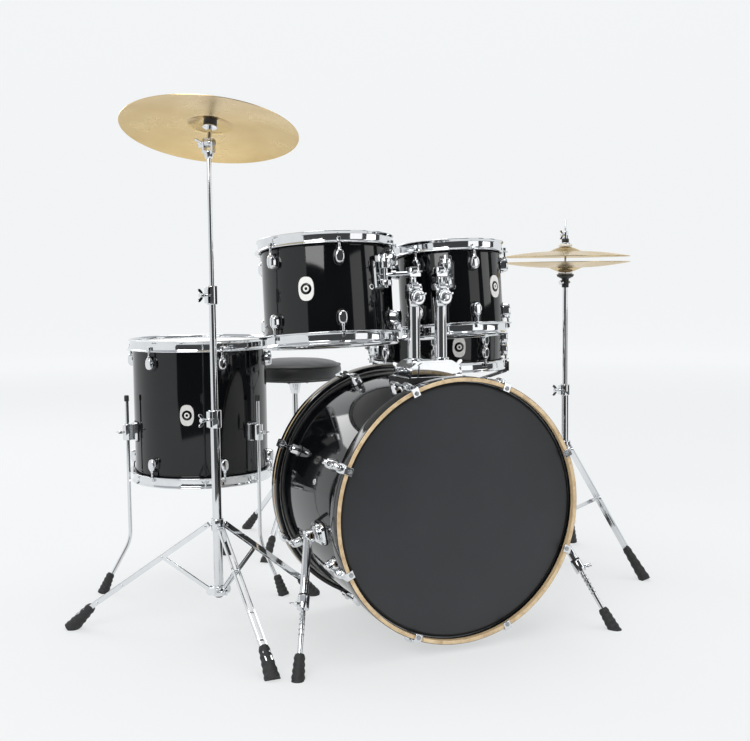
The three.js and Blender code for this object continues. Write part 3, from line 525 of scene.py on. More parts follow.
def add_bass():
    s = Shape()
    s.ring(BASS_R - SHELL_WALL, BASS_R, -BASS_HALF, BASS_HALF, "lacquer", sides=192, soft=1.5)
    for angle in bass_angles():
        for side in (1, -1):
            add_lug(s, radial(angle, BASS_R, side * BASS_LUG_AT), 25, 34, 21)
            s.rod(polar(BASS_ROD, angle, side * (BASS_LUG_AT - 10)),
                polar(BASS_ROD, angle, side * (BASS_LUG_AT + 16)), 6.6, end=5.6)
    for angle in (180 + SPUR_ANGLE, -SPUR_ANGLE):
        at = radial(angle, BASS_R, -SPUR_Y)
        s.prism(ellipse(27, 31, 40, 4), -2, 2, "rubber", at)
        s.prism(ellipse(25.5, 29.5, 40, 4), 1, 8, "chrome", at, 0.94)
        s.disc(19, 6, 15, "chrome", at, 40, 2)
        for x, y in ((-18, 22), (18, 22), (-18, -22), (18, -22)):
            s.disc(4, 6, 10.5, "steel", at @ move(x, y), 6, 0.6)
    add_vent(s, radial(168, BASS_R, 30))
    piece("bass_drum_shell", s, "kit_frame", "bass_shell", BASS_AT, bevel=0.5)

    for end, side, skin, slot in (("front", 1, "skin_black", "black_head"),
                                  ("rear", -1, "skin_white", "coated_head")):
        flip = Matrix.Diagonal((1, 1, side, 1))
        outer = BASS_HALF + HOOP_PROUD
        inner = outer - HOOP_WIDE
        s = Shape()
        if side > 0:
            s.ring(BASS_R + 5.8, HOOP_R - 1, inner, outer, "maple", flip, 192, 2.0)
            s.ring(HOOP_R - 1.6, HOOP_R, inner + 0.5, outer - 1.8, "hoop_black", flip, 192, 0.8)
        else:
            s.ring(BASS_R + 5.8, HOOP_R - 0.6, inner, outer, "hoop_black", flip, 192, 2.0)
            s.ring(HOOP_R - 2, HOOP_R, inner + 16.5, inner + 21.5, "maple", flip, 192, 0.4)
        s.ring(BASS_R + 5.2, BASS_R + 6.4, inner + 4, outer - 12, "hoop_black", flip, 192, 0.4)
        for angle in bass_angles():
            at = flip @ radial(angle, HOOP_R)
            # The claw lies over the hoop, turns down on its edge and holds the rod in a boss.
            plate = soften([(-9, inner - 5), (9, inner - 5), (11, inner + 16), (9, outer + 3.4),
                (-9, outer + 3.4), (-11, inner + 16)], 3)
            s.prism(plate, 0, 4.2, at=at)
            s.box((0, outer + 1.8, -5.5), (17, 3.4, 19), at=at)
            s.disc(5, 0, 1.6, "steel", at @ move(0, outer + 3.2, -8) @ turn(-90, "X"), 20, 0.4)
            boss = at @ move(0, 0, BASS_ROD - HOOP_R)
            s.rod((0, inner - 7, 0), (0, inner + 15, 0), 8.6, "chrome", boss, 24, end=7.4)
            s.rod((0, inner + 14, 0), (0, inner + 19, 0), 6, "chrome", boss, 20)
            s.box((0, inner + 22, 0), (7, 8, 7), at=boss)
            s.rod((0, 128, 0), (0, inner - 4, 0), 3.2, "chrome", boss, 16)
        piece(f"bass_wood_hoop_{end}", s, "kit_frame", f"bass_hoop_{end}", BASS_AT,
            bevel=0.6)
        s = Shape()
        r = BASS_R
        profile = [(0, 0.6), (r - 7, 0.6), (r + 0.7, -1.8), (r + 0.7, -10.5), (r + 3.4, -10.5),
            (r + 3.4, -2.6), (r - 4, 1.6), (0, 1.6)]
        lift = move(0, 0, side * BASS_HALF) @ flip
        s.lathe(soften(profile, 1.4, loop=False), skin, lift, 192)
        s.ring(r + 3, r + 5.3, -10.8, -4, "steel", lift, 192, 0.6)
        if side < 0:
            s.disc(32, 1.2, 2.1, "black_part", lift @ move(0, BEATER_SPOT), 48, 0.3)
        piece(f"bass_skin_{end}", s, "kit_frame", f"bass_head_{end}", BASS_AT)


def add_spurs():
    for name, side in (("left", -1), ("right", 1)):
        angle = math.radians(SPUR_ANGLE)
        pivot = Vector((side * SPUR_R * math.cos(angle), SPUR_Y, BASS_Z - SPUR_R * math.sin(angle)))
        foot = Vector((side * SPUR_FOOT[0], SPUR_FOOT[1], 0))
        length = (foot - pivot).length
        outward = Vector((side * math.cos(angle), 0, -math.sin(angle)))

        def at(distance):
            return pivot.lerp(foot, distance / length)
        s = Shape()
        s.rod(pivot - outward * 12, pivot + outward * 7, 15, sides=32, soft=2)
        s.rod(pivot + outward * 5, pivot + outward * 10, 7, "steel", sides=6)
        s.rod(at(8), at(152), 9.5, "tubing", sides=28)
        s.rod(at(136), at(166), 13.2, sides=32, soft=2)
        s.rod(at(132), at(138), 11.5, "black_part", sides=28)
        bolt = at(151)
        tip = bolt + Vector((side * 20, -10, 3))
        s.rod(bolt, tip, 4.2, sides=16)
        s.wing(along(tip, tip + (tip - bolt)) @ move(0, 0, -6), size=0.8)
        piece(f"spur_outer_{name}", s, f"spur_{name}", f"spur_tube_{name}", bevel=0.4)
        s = Shape()
        s.rod(at(104), at(length - 16), 6, "tubing", sides=24)
        for k in range(5):
            s.rod(at(175 + k * 11), at(178 + k * 11), 6.35, "steel", sides=24, soft=0.3)
        s.boot(at(length - 54), at(length + 14), 11, 15)
        s.cut_floor()
        piece(f"spur_inner_{name}", s, f"spur_foot_{name}", f"spur_rod_{name}",
            bevel=0.0)


# ------------------------------------------------------------ rack toms and their holders
def add_mount():
    s = Shape()
    top, floor = MOUNT_TOP, BASS_Z + BASS_R + 0.6

    def arch(half, roof, corner):
        """A level-topped outline whose underside follows the shell."""
        under = []
        for k in range(13):
            x = half - 2 * half * k / 12
            under.append((x, BASS_Z + math.sqrt((BASS_R + 0.6) ** 2 - x * x)))
        return soften([(-half, roof - corner), (-half + corner * 1.6, roof), (half - corner * 1.6,
            roof), (half, roof - corner)], 5) + under
    across = move(0, POST_Y) @ turn(90, "X")
    s.prism(arch(75, floor + 3.4, 1.2), -52, 52, "rubber", across)
    s.prism(arch(73, floor + 6.5, 1.2), -50, 50, at=across)
    s.prism(arch(64, top - 1, 15), -43, 43, at=across)
    s.prism(arch(47, top - 5, 7), -46.5, 46.5, at=across)
    for x in (-POST_X, POST_X):
        s.ring(POST_R + 0.5, POST_R + 4.5, top - 10, top + 3, "chrome", move(x, POST_Y), 48, 2)
    for side in (-1, 1):
        s.rod((side * 60, POST_Y, WING_Z), (side * 76, POST_Y, WING_Z), 6.2, sides=24)
        tip = (side * 72, POST_Y, WING_Z)
        s.wing(along(tip, (side * 100, POST_Y, WING_Z)) @ turn(90), size=0.95)
        for y in (-41, 41):
            s.disc(5, 0, 3.4, "steel", move(side * 66, POST_Y + y, BASS_Z + 273) @ turn(side * 14,
                "Y"), 6, 0.5)
    piece("tom_mount_casting", s, "kit_frame", "tom_mount", bevel=1.6)


def add_rack_tom(name, drum, side, badge, vent):
    x = side["x"]
    s = Shape()
    neck = PIVOT_Z - 22
    s.rod((x, POST_Y, 505), (x, POST_Y, neck), POST_R, "tubing", sides=40)
    s.lathe(soften([(0, neck - 22), (POST_R + 1, neck - 22), (POST_R + 3.2, neck - 6),
        (POST_R + 2.4, neck + 1), (0, neck + 1)], 2, loop=False), "chrome", move(x, POST_Y), 40)
    for ear in (-1, 1):
        outline = soften([(-12, -26), (12, -26), (12, 0), (6, 8), (-6, 8), (-12, 0)], 4)
        s.prism(outline, -3.4, 3.4, at=move(x + ear * 13, POST_Y, PIVOT_Z) @ OUTWARD)
    s.rod((x - 18.6, POST_Y, PIVOT_Z), (x - 15.8, POST_Y, PIVOT_Z), 8, "steel", sides=6)
    front = along((x, POST_Y - 15, neck), (x, POST_Y - 40, neck))
    s.ring(8.5, 17.5, 0, 12, "chrome", front, 44, 2.5)
    s.disc(8.8, 2, 9, "steel", front, 32)
    s.rod((0, 0, 8), (0, 0, 14), 4.4, at=front)
    s.wing(front @ move(0, 0, 11) @ turn(35), size=0.9)
    piece(f"tom_post_tube_{side['name']}", s, f"post_{side['name']}",
        f"tom_post_{side['name']}", bevel=0.7)

    lean = move(x, POST_Y, PIVOT_Z) @ turn(-RACK_TILT, "X")
    elbow = polar(ARM_REACH, side["arm"], ARM_LEVEL)
    s = Shape()
    s.rod((-9, 0, 0), (9, 0, 0), 12.5, sides=40, soft=1.2)
    for k in range(RATCHET_TEETH):
        tooth = turn(k * 360 / RATCHET_TEETH, "X") @ move(0, 0, 12.2)
        s.box((0, 0, 0), (17, 1.8, 1.6), at=tooth)
    s.rod((0, 0, 0), (0, 0, ARM_LEVEL - 6), 7.4, sides=28)
    s.dome(27, 27, 14, "chrome", move(0, 0, ARM_LEVEL), 4, 0.8)
    s.box((0, 0, ARM_LEVEL - 4), (27, 27, 9))
    s.rod((0, -13, ARM_LEVEL + 2), (0, -21, ARM_LEVEL + 2), 3.6)
    s.wing(along((0, -17, ARM_LEVEL + 2), (0, -40, ARM_LEVEL + 2)), size=0.62)
    bend = [elbow + Vector((0, 0, -30)), elbow + Vector((0, 0, 48))]
    s.rod((0, 0, ARM_LEVEL), elbow, 5.4, sides=24)
    s.rod(bend[0], bend[1], 5.4, sides=24, soft=2)
    s.rod(elbow * 0.62 + Vector((0, 0, ARM_LEVEL * 0.38)), elbow * 0.8 + Vector((0, 0,
        ARM_LEVEL * 0.2)), 8.6, sides=28)
    piece(f"tom_ratchet_arm_{side['name']}", s, f"arm_{side['name']}",
        f"tom_arm_{side['name']}", lean, bevel=0.5)

    r = drum["r"]
    middle = elbow + polar(r + BRACKET_OFFSET, side["drum"])
    at = lean @ move(middle.x, middle.y, RACK_Z - PIVOT_Z)
    to_arm = side["drum"] + 180
    lift = PIVOT_Z + ARM_LEVEL - RACK_Z

    def bracket(s):
        base = radial(to_arm, r, lift)
        s.prism(plate(17, 20, -33, 36, 5), -2, 1.6, "rubber", base)
        s.prism(plate(15.5, 18.5, -31, 34, 5), 1, 7, "chrome", base, 0.94)
        s.prism(plate(14.5, 14.5, -9, 35, 4), 5, 15, at=base @ move(0, 12))
        for z0, z1 in ((14, 38), (-25.5, -12.5)):
            s.ring(6.0, 13.5, z0 + lift, z1 + lift, "chrome",
                turn(to_arm) @ move(r + BRACKET_OFFSET), 40, 1.6)
            s.box((r + 11, 0, (z0 + z1) / 2 + lift), (14, 22, z1 - z0 - 1), at=turn(to_arm))
        knob = turn(to_arm) @ move(r + BRACKET_OFFSET, 0, lift + 26)
        s.rod((8, 0, 0), (18, 0, 0), 3.6, at=knob)
        s.wing(along(knob @ Vector((15, 0, 0)), knob @ Vector((30, 0, 0))), size=0.66)
    add_drum(f"tom_{name}", drum, at, f"{name}_rack_tom", badge, vent, bracket)


# ------------------------------------------------------------ floor tom
def add_floor_tom():
    r = FLOOR_TOM["r"]
    clamp = LEG_CLAMP - FLOOR_TOM_AT[2]

    def brackets(s):
        for angle in LEG_ANGLES:
            base = radial(angle, r, clamp)
            s.prism(plate(18, 18, -27, 27, 6), -2, 1.6, "rubber", base)
            s.prism(plate(16.5, 16.5, -25, 25, 6), 1, 8, "chrome", base, 0.94)
            s.box((0, 0, 13), (24, 40, 16), at=base)
            s.ring(5.6, 12.5, clamp - 21, clamp + 21, "chrome", turn(angle) @ move(r + 24), 36, 1.6)
            s.rod((0, 0, 30), (0, 0, 42), 4, at=base)
            s.wing(base @ move(0, 0, 38), size=0.8)
    at = move(*FLOOR_TOM_AT)
    add_drum("floor_tom", FLOOR_TOM, at, "kit_frame", -116, 20, brackets)
    for index, angle in enumerate(LEG_ANGLES):
        def on(radius, z):
            return polar(radius, angle, z) + Vector((*FLOOR_TOM_AT[:2], 0))
        s = Shape()
        knee = on(r + 24, LEG_BEND)
        foot = on(LEG_FOOT - 6, 12)
        path = [on(r + 24, LEG_TOP - 3), on(r + 24, LEG_BEND + 26)]
        low = knee.lerp(foot, 26 / (foot - knee).length)
        for k in range(1, 9):
            t = k / 8
            path.append(path[1] * (1 - t) ** 2 + knee * 2 * t * (1 - t) + low * t * t)
        path.append(knee.lerp(foot, 0.9))
        s.tube(path, LEG_R, "tubing", sides=20)
        s.rod(on(r + 24, LEG_TOP - 16), on(r + 24, LEG_TOP), 6.2, "rubber", sides=20, soft=2.5)
        s.boot(on(LEG_FOOT - 24, 50), on(LEG_FOOT, -2), 9.5, 14.5)
        s.cut_floor()
        piece(f"floor_tom_bent_leg_{index + 1}", s, f"floor_leg_{index + 1}",
            f"floor_tom_leg_{index + 1}")


# ------------------------------------------------------------ stands
def tripod(s, collar, foot_radius, foot_angle, brace_at, hub, top_radius=12):
    """Three double-bar legs from a collar, each braced to the foot of the tube."""
    for k in range(3):
        angle = foot_angle + 120 * k
        top, foot = polar(top_radius, angle, collar), polar(foot_radius - 16, angle, 15)
        joint = top.lerp(foot, brace_at)
        low = polar(8, angle, hub)
        across = polar(1, angle + 90)
        for shift in (-6.4, 6.4):
            s.bar(top, top.lerp(foot, 0.93), 2.2, 11, shift=shift)
        for shift in (-3.6, 3.6):
            s.bar(low, joint, 1.8, 9, shift=shift)
        for point, reach in ((top.lerp(foot, 0.03), 9.5), (joint, 9.5), (low, 6.5),
                             (top.lerp(foot, 0.8), 9)):
            s.rod(point - across * reach, point + across * reach, 3.1, sides=16)
        s.boot(top.lerp(foot, 0.8), polar(foot_radius, angle, 0), 10, 15)


def clamp(s, z0, z1, radius, angle, reach, size=0.85):
    """A split tube clamp with a wing bolt."""
    s.lathe(soften([(0, z0), (radius, z0), (radius, z1), (0, z1)], 2.2, loop=False), sides=40)
    middle = (z0 + z1) / 2
    s.box((radius - 2, 0, middle), (14, 13, z1 - z0 - 6), at=turn(angle))
    s.rod(polar(radius, angle, middle), polar(reach - 8, angle, middle), 4, sides=16)
    tip = polar(reach - 11, angle, middle)
    s.wing(along(tip, polar(reach + 20, angle, middle)) @ turn(90), size=size)
    s.rod((radius - 1, -11, middle), (radius - 1, 11, middle), 3.4, "steel", turn(angle), 6)


def chain(s, start, end, links, at=I4):
    """Oval links, each turned a quarter from the last."""
    for k in range(links):
        mid = start.lerp(end, (k + 0.5) / links)
        link = at @ along(mid, end) @ turn(90 if k % 2 else 0)
        oval = [(4.1 * math.cos(t * math.pi / 8), 0,
            7.2 * math.sin(t * math.pi / 8)) for t in range(16)]
        s.tube(oval, 1.15, "steel", link, sides=7, loop=True)


def add_snare():
    at = move(*SNARE_AT)
    r = SNARE["r"]
    half = SNARE["depth"] / 2
    s = drum_shell(SNARE, -98, 30, paired=False)
    base = radial(THROW_OFF, r)
    s.prism(plate(14, 14, -36, 36, 4), 0, 12, "chrome", base, 0.95)
    s.box((0, 22, 15), (20, 22, 10), at=base)
    s.rod((0, 28, 14), (0, 40, 14), 5.5, "chrome", base, 20)
    butt = radial(THROW_OFF + 180, r)
    s.prism(plate(13, 13, -26, 26, 4), 0, 11, "chrome", butt, 0.93)
    piece("snare_drum_shell", s, "kit_frame", "snare_shell", at, bevel=0.5)
    s = Shape()
    metal_hoop(s, SNARE, 1, -half + 33)
    piece("snare_flanged_hoop_top", s, "kit_frame", "snare_hoop_top", at, bevel=0.5)
    s = Shape()
    drum_head(s, SNARE, 1)
    piece("snare_skin_top", s, "kit_frame", "snare_head_top", at)
    s = Shape()
    metal_hoop(s, SNARE, -1, -half + 33)
    drum_head(s, SNARE, -1)
    piece("snare_flanged_hoop_bottom", s, "kit_frame", "snare_hoop_bottom", at,
        bevel=0.5)
    # Coiled wires under the lower head, held by a plate at each end.
    s = Shape()
    wires = move(0, 0, -half - 2.6) @ turn(THROW_OFF)
    for k in range(12):
        y = (k - 5.5) * 3.4
        path = [(-120 + 240 * i / 120, y + 0.9 * math.cos(i * 1.9),
            0.9 * math.sin(i * 1.9)) for i in range(121)]
        s.tube(path, 0.5, "steel", wires, sides=5)
    for x in (-1, 1):
        s.box((x * 122, 0, 0), (10, 44, 2), at=wires)
        s.box((x * 148, 0, -0.4), (46, 12, 0.7), "black_part", wires)
    piece("snare_wires", s, "kit_frame", at=at)
    s = Shape()
    lever = radial(THROW_OFF, r)
    s.prism(plate(7, 6, -14, 38, 4), 22.5, 29.5, at=lever)
    s.prism(plate(5, 5, 20, 37, 3), 29, 31.5, "black_part", lever)
    s.rod((-9, -6, 28), (9, -6, 28), 5, "steel", lever, 24)
    piece("snare_strainer_lever", s, "throw_off", "snare_throw_off_lever", at, bevel=0.6)

    s = Shape()
    base = move(SNARE_AT[0], SNARE_AT[1])
    floor = SNARE_AT[2] - half - 12
    s.rod((0, 0, 90), (0, 0, 330), 10, "tubing", sides=32)
    s.rod((0, 0, 300), (0, 0, floor - 60), 8, "tubing", sides=32)
    clamp(s, 300, 336, 15, 200, 36)
    s.disc(17, 255, 285, sides=40, soft=3)
    s.disc(13, 88, 112, sides=40, soft=3)
    s.disc(17, floor - 84, floor - 56, sides=40, soft=4)
    s.rod((0, 0, floor - 92), (0, 0, floor - 108), 9, sides=32)
    s.wing(move(0, 0, floor - 100) @ turn(180, "X") @ move(0, 0, -4), size=0.9)
    for angle in (-134, -14, 106):
        inner, outer = polar(10, angle, floor - 68), polar(r + 20, angle, floor - 11)
        for shift in (-4.5, 4.5):
            s.bar(inner, outer, 3.0, 8, shift=shift)
        for t in (0.12, 0.55, 0.92):
            mid = inner.lerp(outer, t)
            s.rod(mid - polar(6.5, angle + 90), mid + polar(6.5, angle + 90), 2.8, sides=14)
        s.box((r + 6, 0, floor - 6.6), (40, 19, 11), "rubber", turn(angle))
        s.box((r + 22.5, 0, floor + 2), (7.4, 19, 25), "rubber", turn(angle))
    tripod(s, 270, 240, -20, 0.4, 100)
    s.cut_floor()
    piece("snare_stand_basket", s, "kit_frame", "snare_stand", base, bevel=0.4)


def cymbal_profile(radius, rise, hole, thick=1.4):
    """The bow falls slowly to the rim; the bell stands on it with a soft shoulder."""
    top = []
    shoulder = 0.27 * radius
    for k in range(27):
        x = radius - (radius - shoulder) * k / 26
        u = (x - shoulder) / (radius - shoulder)
        top.append((x, rise * 0.52 * (1 - u ** 1.7)))
    for k in range(1, 15):
        t = k / 14
        x = shoulder + (hole - shoulder) * t
        v = math.sin(t * math.pi / 2) ** 1.25
        top.append((x, rise * (0.52 + 0.48 * v)))
    under = [(x, z - thick) for x, z in reversed(top)]
    return top + under


def add_crash():
    base = move(*CRASH_AT)
    drop, run = CRASH_COLLAR - 18, CRASH_FOOT - CRASH_HUB
    length = math.hypot(drop, run)
    brace_run, brace_drop = CRASH_BRACE * run / length, CRASH_BRACE * drop / length
    hub = CRASH_COLLAR - 2 * brace_drop
    s = Shape()
    s.ring(8.6, 11, hub - 8, CRASH_LOW + 5, "tubing", sides=40, soft=0.6)
    s.disc(15, hub - 12, hub + 12, sides=40, soft=3)
    s.disc(15, CRASH_COLLAR - 14, CRASH_COLLAR + 14, sides=40, soft=3)
    s.disc(8.5, hub - 16, hub - 8, "rubber", sides=28, soft=2)
    clamp(s, CRASH_LOW, CRASH_LOW + 42, 15, 205, 44)
    for k in range(3):
        angle = CRASH_LEG + 120 * k
        for ear in (-11, 11):
            outline = soften([(-10, -9), (6, -9), (10, -4), (10, 4), (6, 9), (-10, 9)], 3)
            s.prism(outline, -1.8, 1.8, at=turn(angle) @ move(CRASH_HUB - 3, ear, hub) @ turn(90,
                "X"))
    piece("crash_stand_base", s, "kit_frame", "crash_base_tube", base, bevel=0.5)
    s = Shape()
    s.ring(6.2, 8, 300, CRASH_HIGH + 5, "tubing", sides=36, soft=0.5)
    clamp(s, CRASH_HIGH, CRASH_HIGH + 43, 12.5, 205, 38)
    piece("crash_stand_middle", s, "crash_mid", "crash_mid_tube", base, bevel=0.5)

    for index, leg in enumerate(("front", "right", "left")):
        angle = CRASH_LEG + 120 * index

        def side(radius, z, shift=0.0):
            return polar(radius, angle, z) + polar(shift, angle + 90)
        top, foot = (CRASH_HUB, CRASH_COLLAR), (CRASH_FOOT, 18)
        joint = (CRASH_HUB + brace_run, CRASH_COLLAR - brace_drop)

        def near(part):
            return [a + (b - a) * part for a, b in zip(top, foot)]
        s = Shape()
        for shift in (-6.4, 6.4):
            s.bar(side(*top), side(*near(0.94)), 2.2, 11.5, shift=shift)
        for part in (0.02, CRASH_BRACE / length, 0.62, 0.8):
            s.rod(side(*near(part), -9), side(*near(part), 9), 3.2, sides=18)
        s.boot(side(*near(0.84)), side(foot[0], 0), 11, 17)
        s.cut_floor()
        piece(f"crash_double_leg_{leg}", s, f"leg_{leg}", f"crash_leg_{leg}", base,
            bevel=0.35)
        s = Shape()
        for shift in (-2.4, 2.4):
            s.bar(side(CRASH_HUB, hub), side(*joint), 1.6, 9, shift=shift)
        s.rod(side(CRASH_HUB, hub, -8), side(CRASH_HUB, hub, 8), 3.2, sides=18)
        piece(f"crash_brace_bar_{leg}", s, f"brace_{leg}", f"crash_brace_{leg}", base,
            bevel=0.3)

    lean = move(*CRASH_AT, CRASH_PIVOT) @ turn(CRASH_LEAN)
    s = Shape()
    neck = CRASH_NECK - CRASH_PIVOT
    s.rod((0, 0, 620 - CRASH_PIVOT), (0, 0, neck), 5.4, "tubing", sides=28)
    s.lathe(soften([(0, neck - 14), (8, neck - 14), (11, neck - 3), (11, neck + 4), (0, neck + 4)],
        2, loop=False), sides=32)
    s.box((0, 0, neck + 2), (18, 25, 7))
    cheek = soften([(-9, -18), (9, -18), (9.5, 3), (5, 10), (-5, 10), (-9.5, 3)], 4)
    for y in (-1, 1):
        s.prism(cheek, -2.4, 2.4, at=move(0, y * 10.5) @ turn(90, "X"))
    s.rod((0, 12.5, 0), (0, 20, 0), 4.2)
    s.wing(along((0, 16, 0), (0, 40, 0)) @ turn(35), size=0.8)
    s.rod((0, -12.5, 0), (0, -15.5, 0), 7, "steel", sides=6)
    piece("crash_stand_upper", s, "crash_upper", "crash_upper_rod", lean, bevel=0.5)

    tilt = lean @ turn(CRASH_TILT, "Y")
    stem = CRASH_STEM
    s = Shape()
    s.rod((0, -7.4, 0), (0, 7.4, 0), 10.2, sides=36, soft=1)
    for k in range(RATCHET_TEETH):
        s.box((0, 0, 10), (1.5, 14, 1.5), at=turn(k * 360 / RATCHET_TEETH, "Y"))
    s.rod((0, 0, 0), (0, 0, stem + 33), 3.9, "steel", sides=20)
    s.rod((0, 0, 8), (0, 0, stem - 17), 5.6, sides=24)
    s.disc(17, stem - 20, stem - 17.5, sides=40)
    s.disc(15.5, stem - 17.6, stem - 1, "felt_black", sides=40, soft=3)
    s.disc(15, stem + 2.6, stem + 13, "felt_black", sides=40, soft=3)
    s.disc(11, stem + 12.6, stem + 15, sides=36, soft=0.8)
    s.wing(move(0, 0, stem + 15) @ turn(20), size=1.0)
    piece("crash_ratchet_tilter", s, "crash_tilt_head", "crash_tilter", tilt, bevel=0.4)
    s = Shape()
    s.lathe(cymbal_profile(CRASH_R, 30, 6), "bronze", sides=160)
    piece("crash_cymbal_plate", s, "crash_plate", "crash_cymbal", tilt @ move(0, 0,
        stem - 28), angle=50)


def add_hat():
    base = move(*HAT_AT)
    s = Shape()
    s.ring(8, 10.5, 108, HAT_CLAMP + 4, "tubing", sides=40, soft=0.6)
    clamp(s, HAT_CLAMP, HAT_CLAMP + 32, 14, 185, 40)
    s.disc(17, HAT_COLLAR - 14, HAT_COLLAR + 14, sides=40, soft=3)
    s.disc(13.5, 138, 162, sides=40, soft=3)
    tripod(s, HAT_COLLAR, HAT_FOOT, HAT_LEG, 0.42, 150)
    pedal = turn(HAT_PEDAL)
    for y in (-1, 1):
        s.bar((20, y * 21, 5), (284, y * 21, 5), 8, 5, at=pedal)
        s.prism(plate(7, 5, 3, 112, 3), -3.2, 3.2, at=pedal @ move(22, y * 51) @ turn(90, "X"))
    s.box((268, 0, 11), (30, 68, 16), at=pedal)
    s.box((22, 0, 8), (14, 108, 10), at=pedal)
    s.box((6, 0, 112), (58, 106, 8), at=pedal)
    s.disc(14, 104, 122, sides=40, soft=2)
    s.rod((268, -30, 20), (268, 30, 20), 4, "steel", pedal)
    s.cut_floor()
    piece("hihat_stand_base", s, "kit_frame", "hihat_base", base, bevel=0.5)

    cup = HAT_BOTTOM - 39.5
    s = Shape()
    s.ring(5.2, 7.4, 330, cup - 8, "tubing", sides=36, soft=0.5)
    s.lathe(soften([(5.2, cup - 30), (9.6, cup - 30), (10, cup - 6), (22, cup), (24, cup + 4), (24,
        cup + 7), (5.2, cup + 7)], 2), "black_part", sides=48)
    s.ring(5.2, 20, cup + 6.6, cup + 11.6, "felt_white", sides=48, soft=2)
    s.rod((-14, 0, cup - 16), (14, 0, cup - 16), 5, sides=20)
    s.disc(7, -2, 3, "chrome", along((-15, 0, cup - 16), (-30, 0, cup - 16)), 6)
    piece("hihat_upper_pipe", s, "hihat_tube", "hihat_upper_tube", base, bevel=0.4)

    s = Shape()
    rise = math.atan2(54, 210)
    heel, toe = Vector((248, 0, 28)), Vector((46, 0, 28 + math.tan(rise) * 222))
    s.bar(heel, toe, 74, 4.6, at=pedal)
    for k in range(12):
        spot = heel.lerp(toe, 0.14 + 0.066 * k) + Vector((0, 0, 2.6))
        for y in (-24, 0, 24):
            s.box(spot + Vector((0, y, 0)), (5, 17, 1.8), at=pedal)
    s.rod(heel + Vector((2, -34, 0)), heel + Vector((2, 34, 0)), 4.4, at=pedal)
    start, end = toe + Vector((-6, 0, 2)), Vector((8, 0, 106))
    chain(s, start, end, 4, pedal)
    piece("hihat_foot_plate", s, "hihat_board", "hihat_footboard", base, bevel=0.6)

    s = Shape()
    top = HAT_TOP
    s.rod((0, 0, HAT_ROD_FOOT), (0, 0, HAT_ROD), 2.9, sides=18)
    s.disc(13, top + 8, top + 15, sides=36, soft=1)
    s.disc(12.6, top + 14.6, top + 24, "felt_white", sides=36, soft=2)
    s.disc(6, top + 8, top + 34, sides=24)
    s.disc(19, top + 27.8, top + 35, "felt_white", sides=44, soft=2.5)
    s.disc(14, top + 34.6, top + 38.5, sides=36)
    s.disc(10, top + 38, top + 50, "black_part", sides=32, soft=2)
    s.disc(8, top + 49, top + 71, sides=32, soft=1.6)
    s.rod(polar(7, 200, top + 60), polar(15, 200, top + 60), 3.4)
    s.wing(along(polar(12, 200, top + 60), polar(40, 200, top + 60)) @ turn(90), size=0.72)
    piece("hihat_clutch", s, "hihat_pull", "hihat_rod_and_clutch", base, bevel=0.4)
    for name, body, flip, z in (("top", "hihat_pull", 0, top), ("bottom", "hihat_tube", 180,
                                                                HAT_BOTTOM)):
        s = Shape()
        s.lathe(cymbal_profile(HAT_R, 27, 7.5), "bronze", sides=144)
        piece(f"hihat_plate_{name}", s, body, f"hihat_cymbal_{name}", base @ move(0, 0,
            z) @ turn(flip, "X"), angle=50)


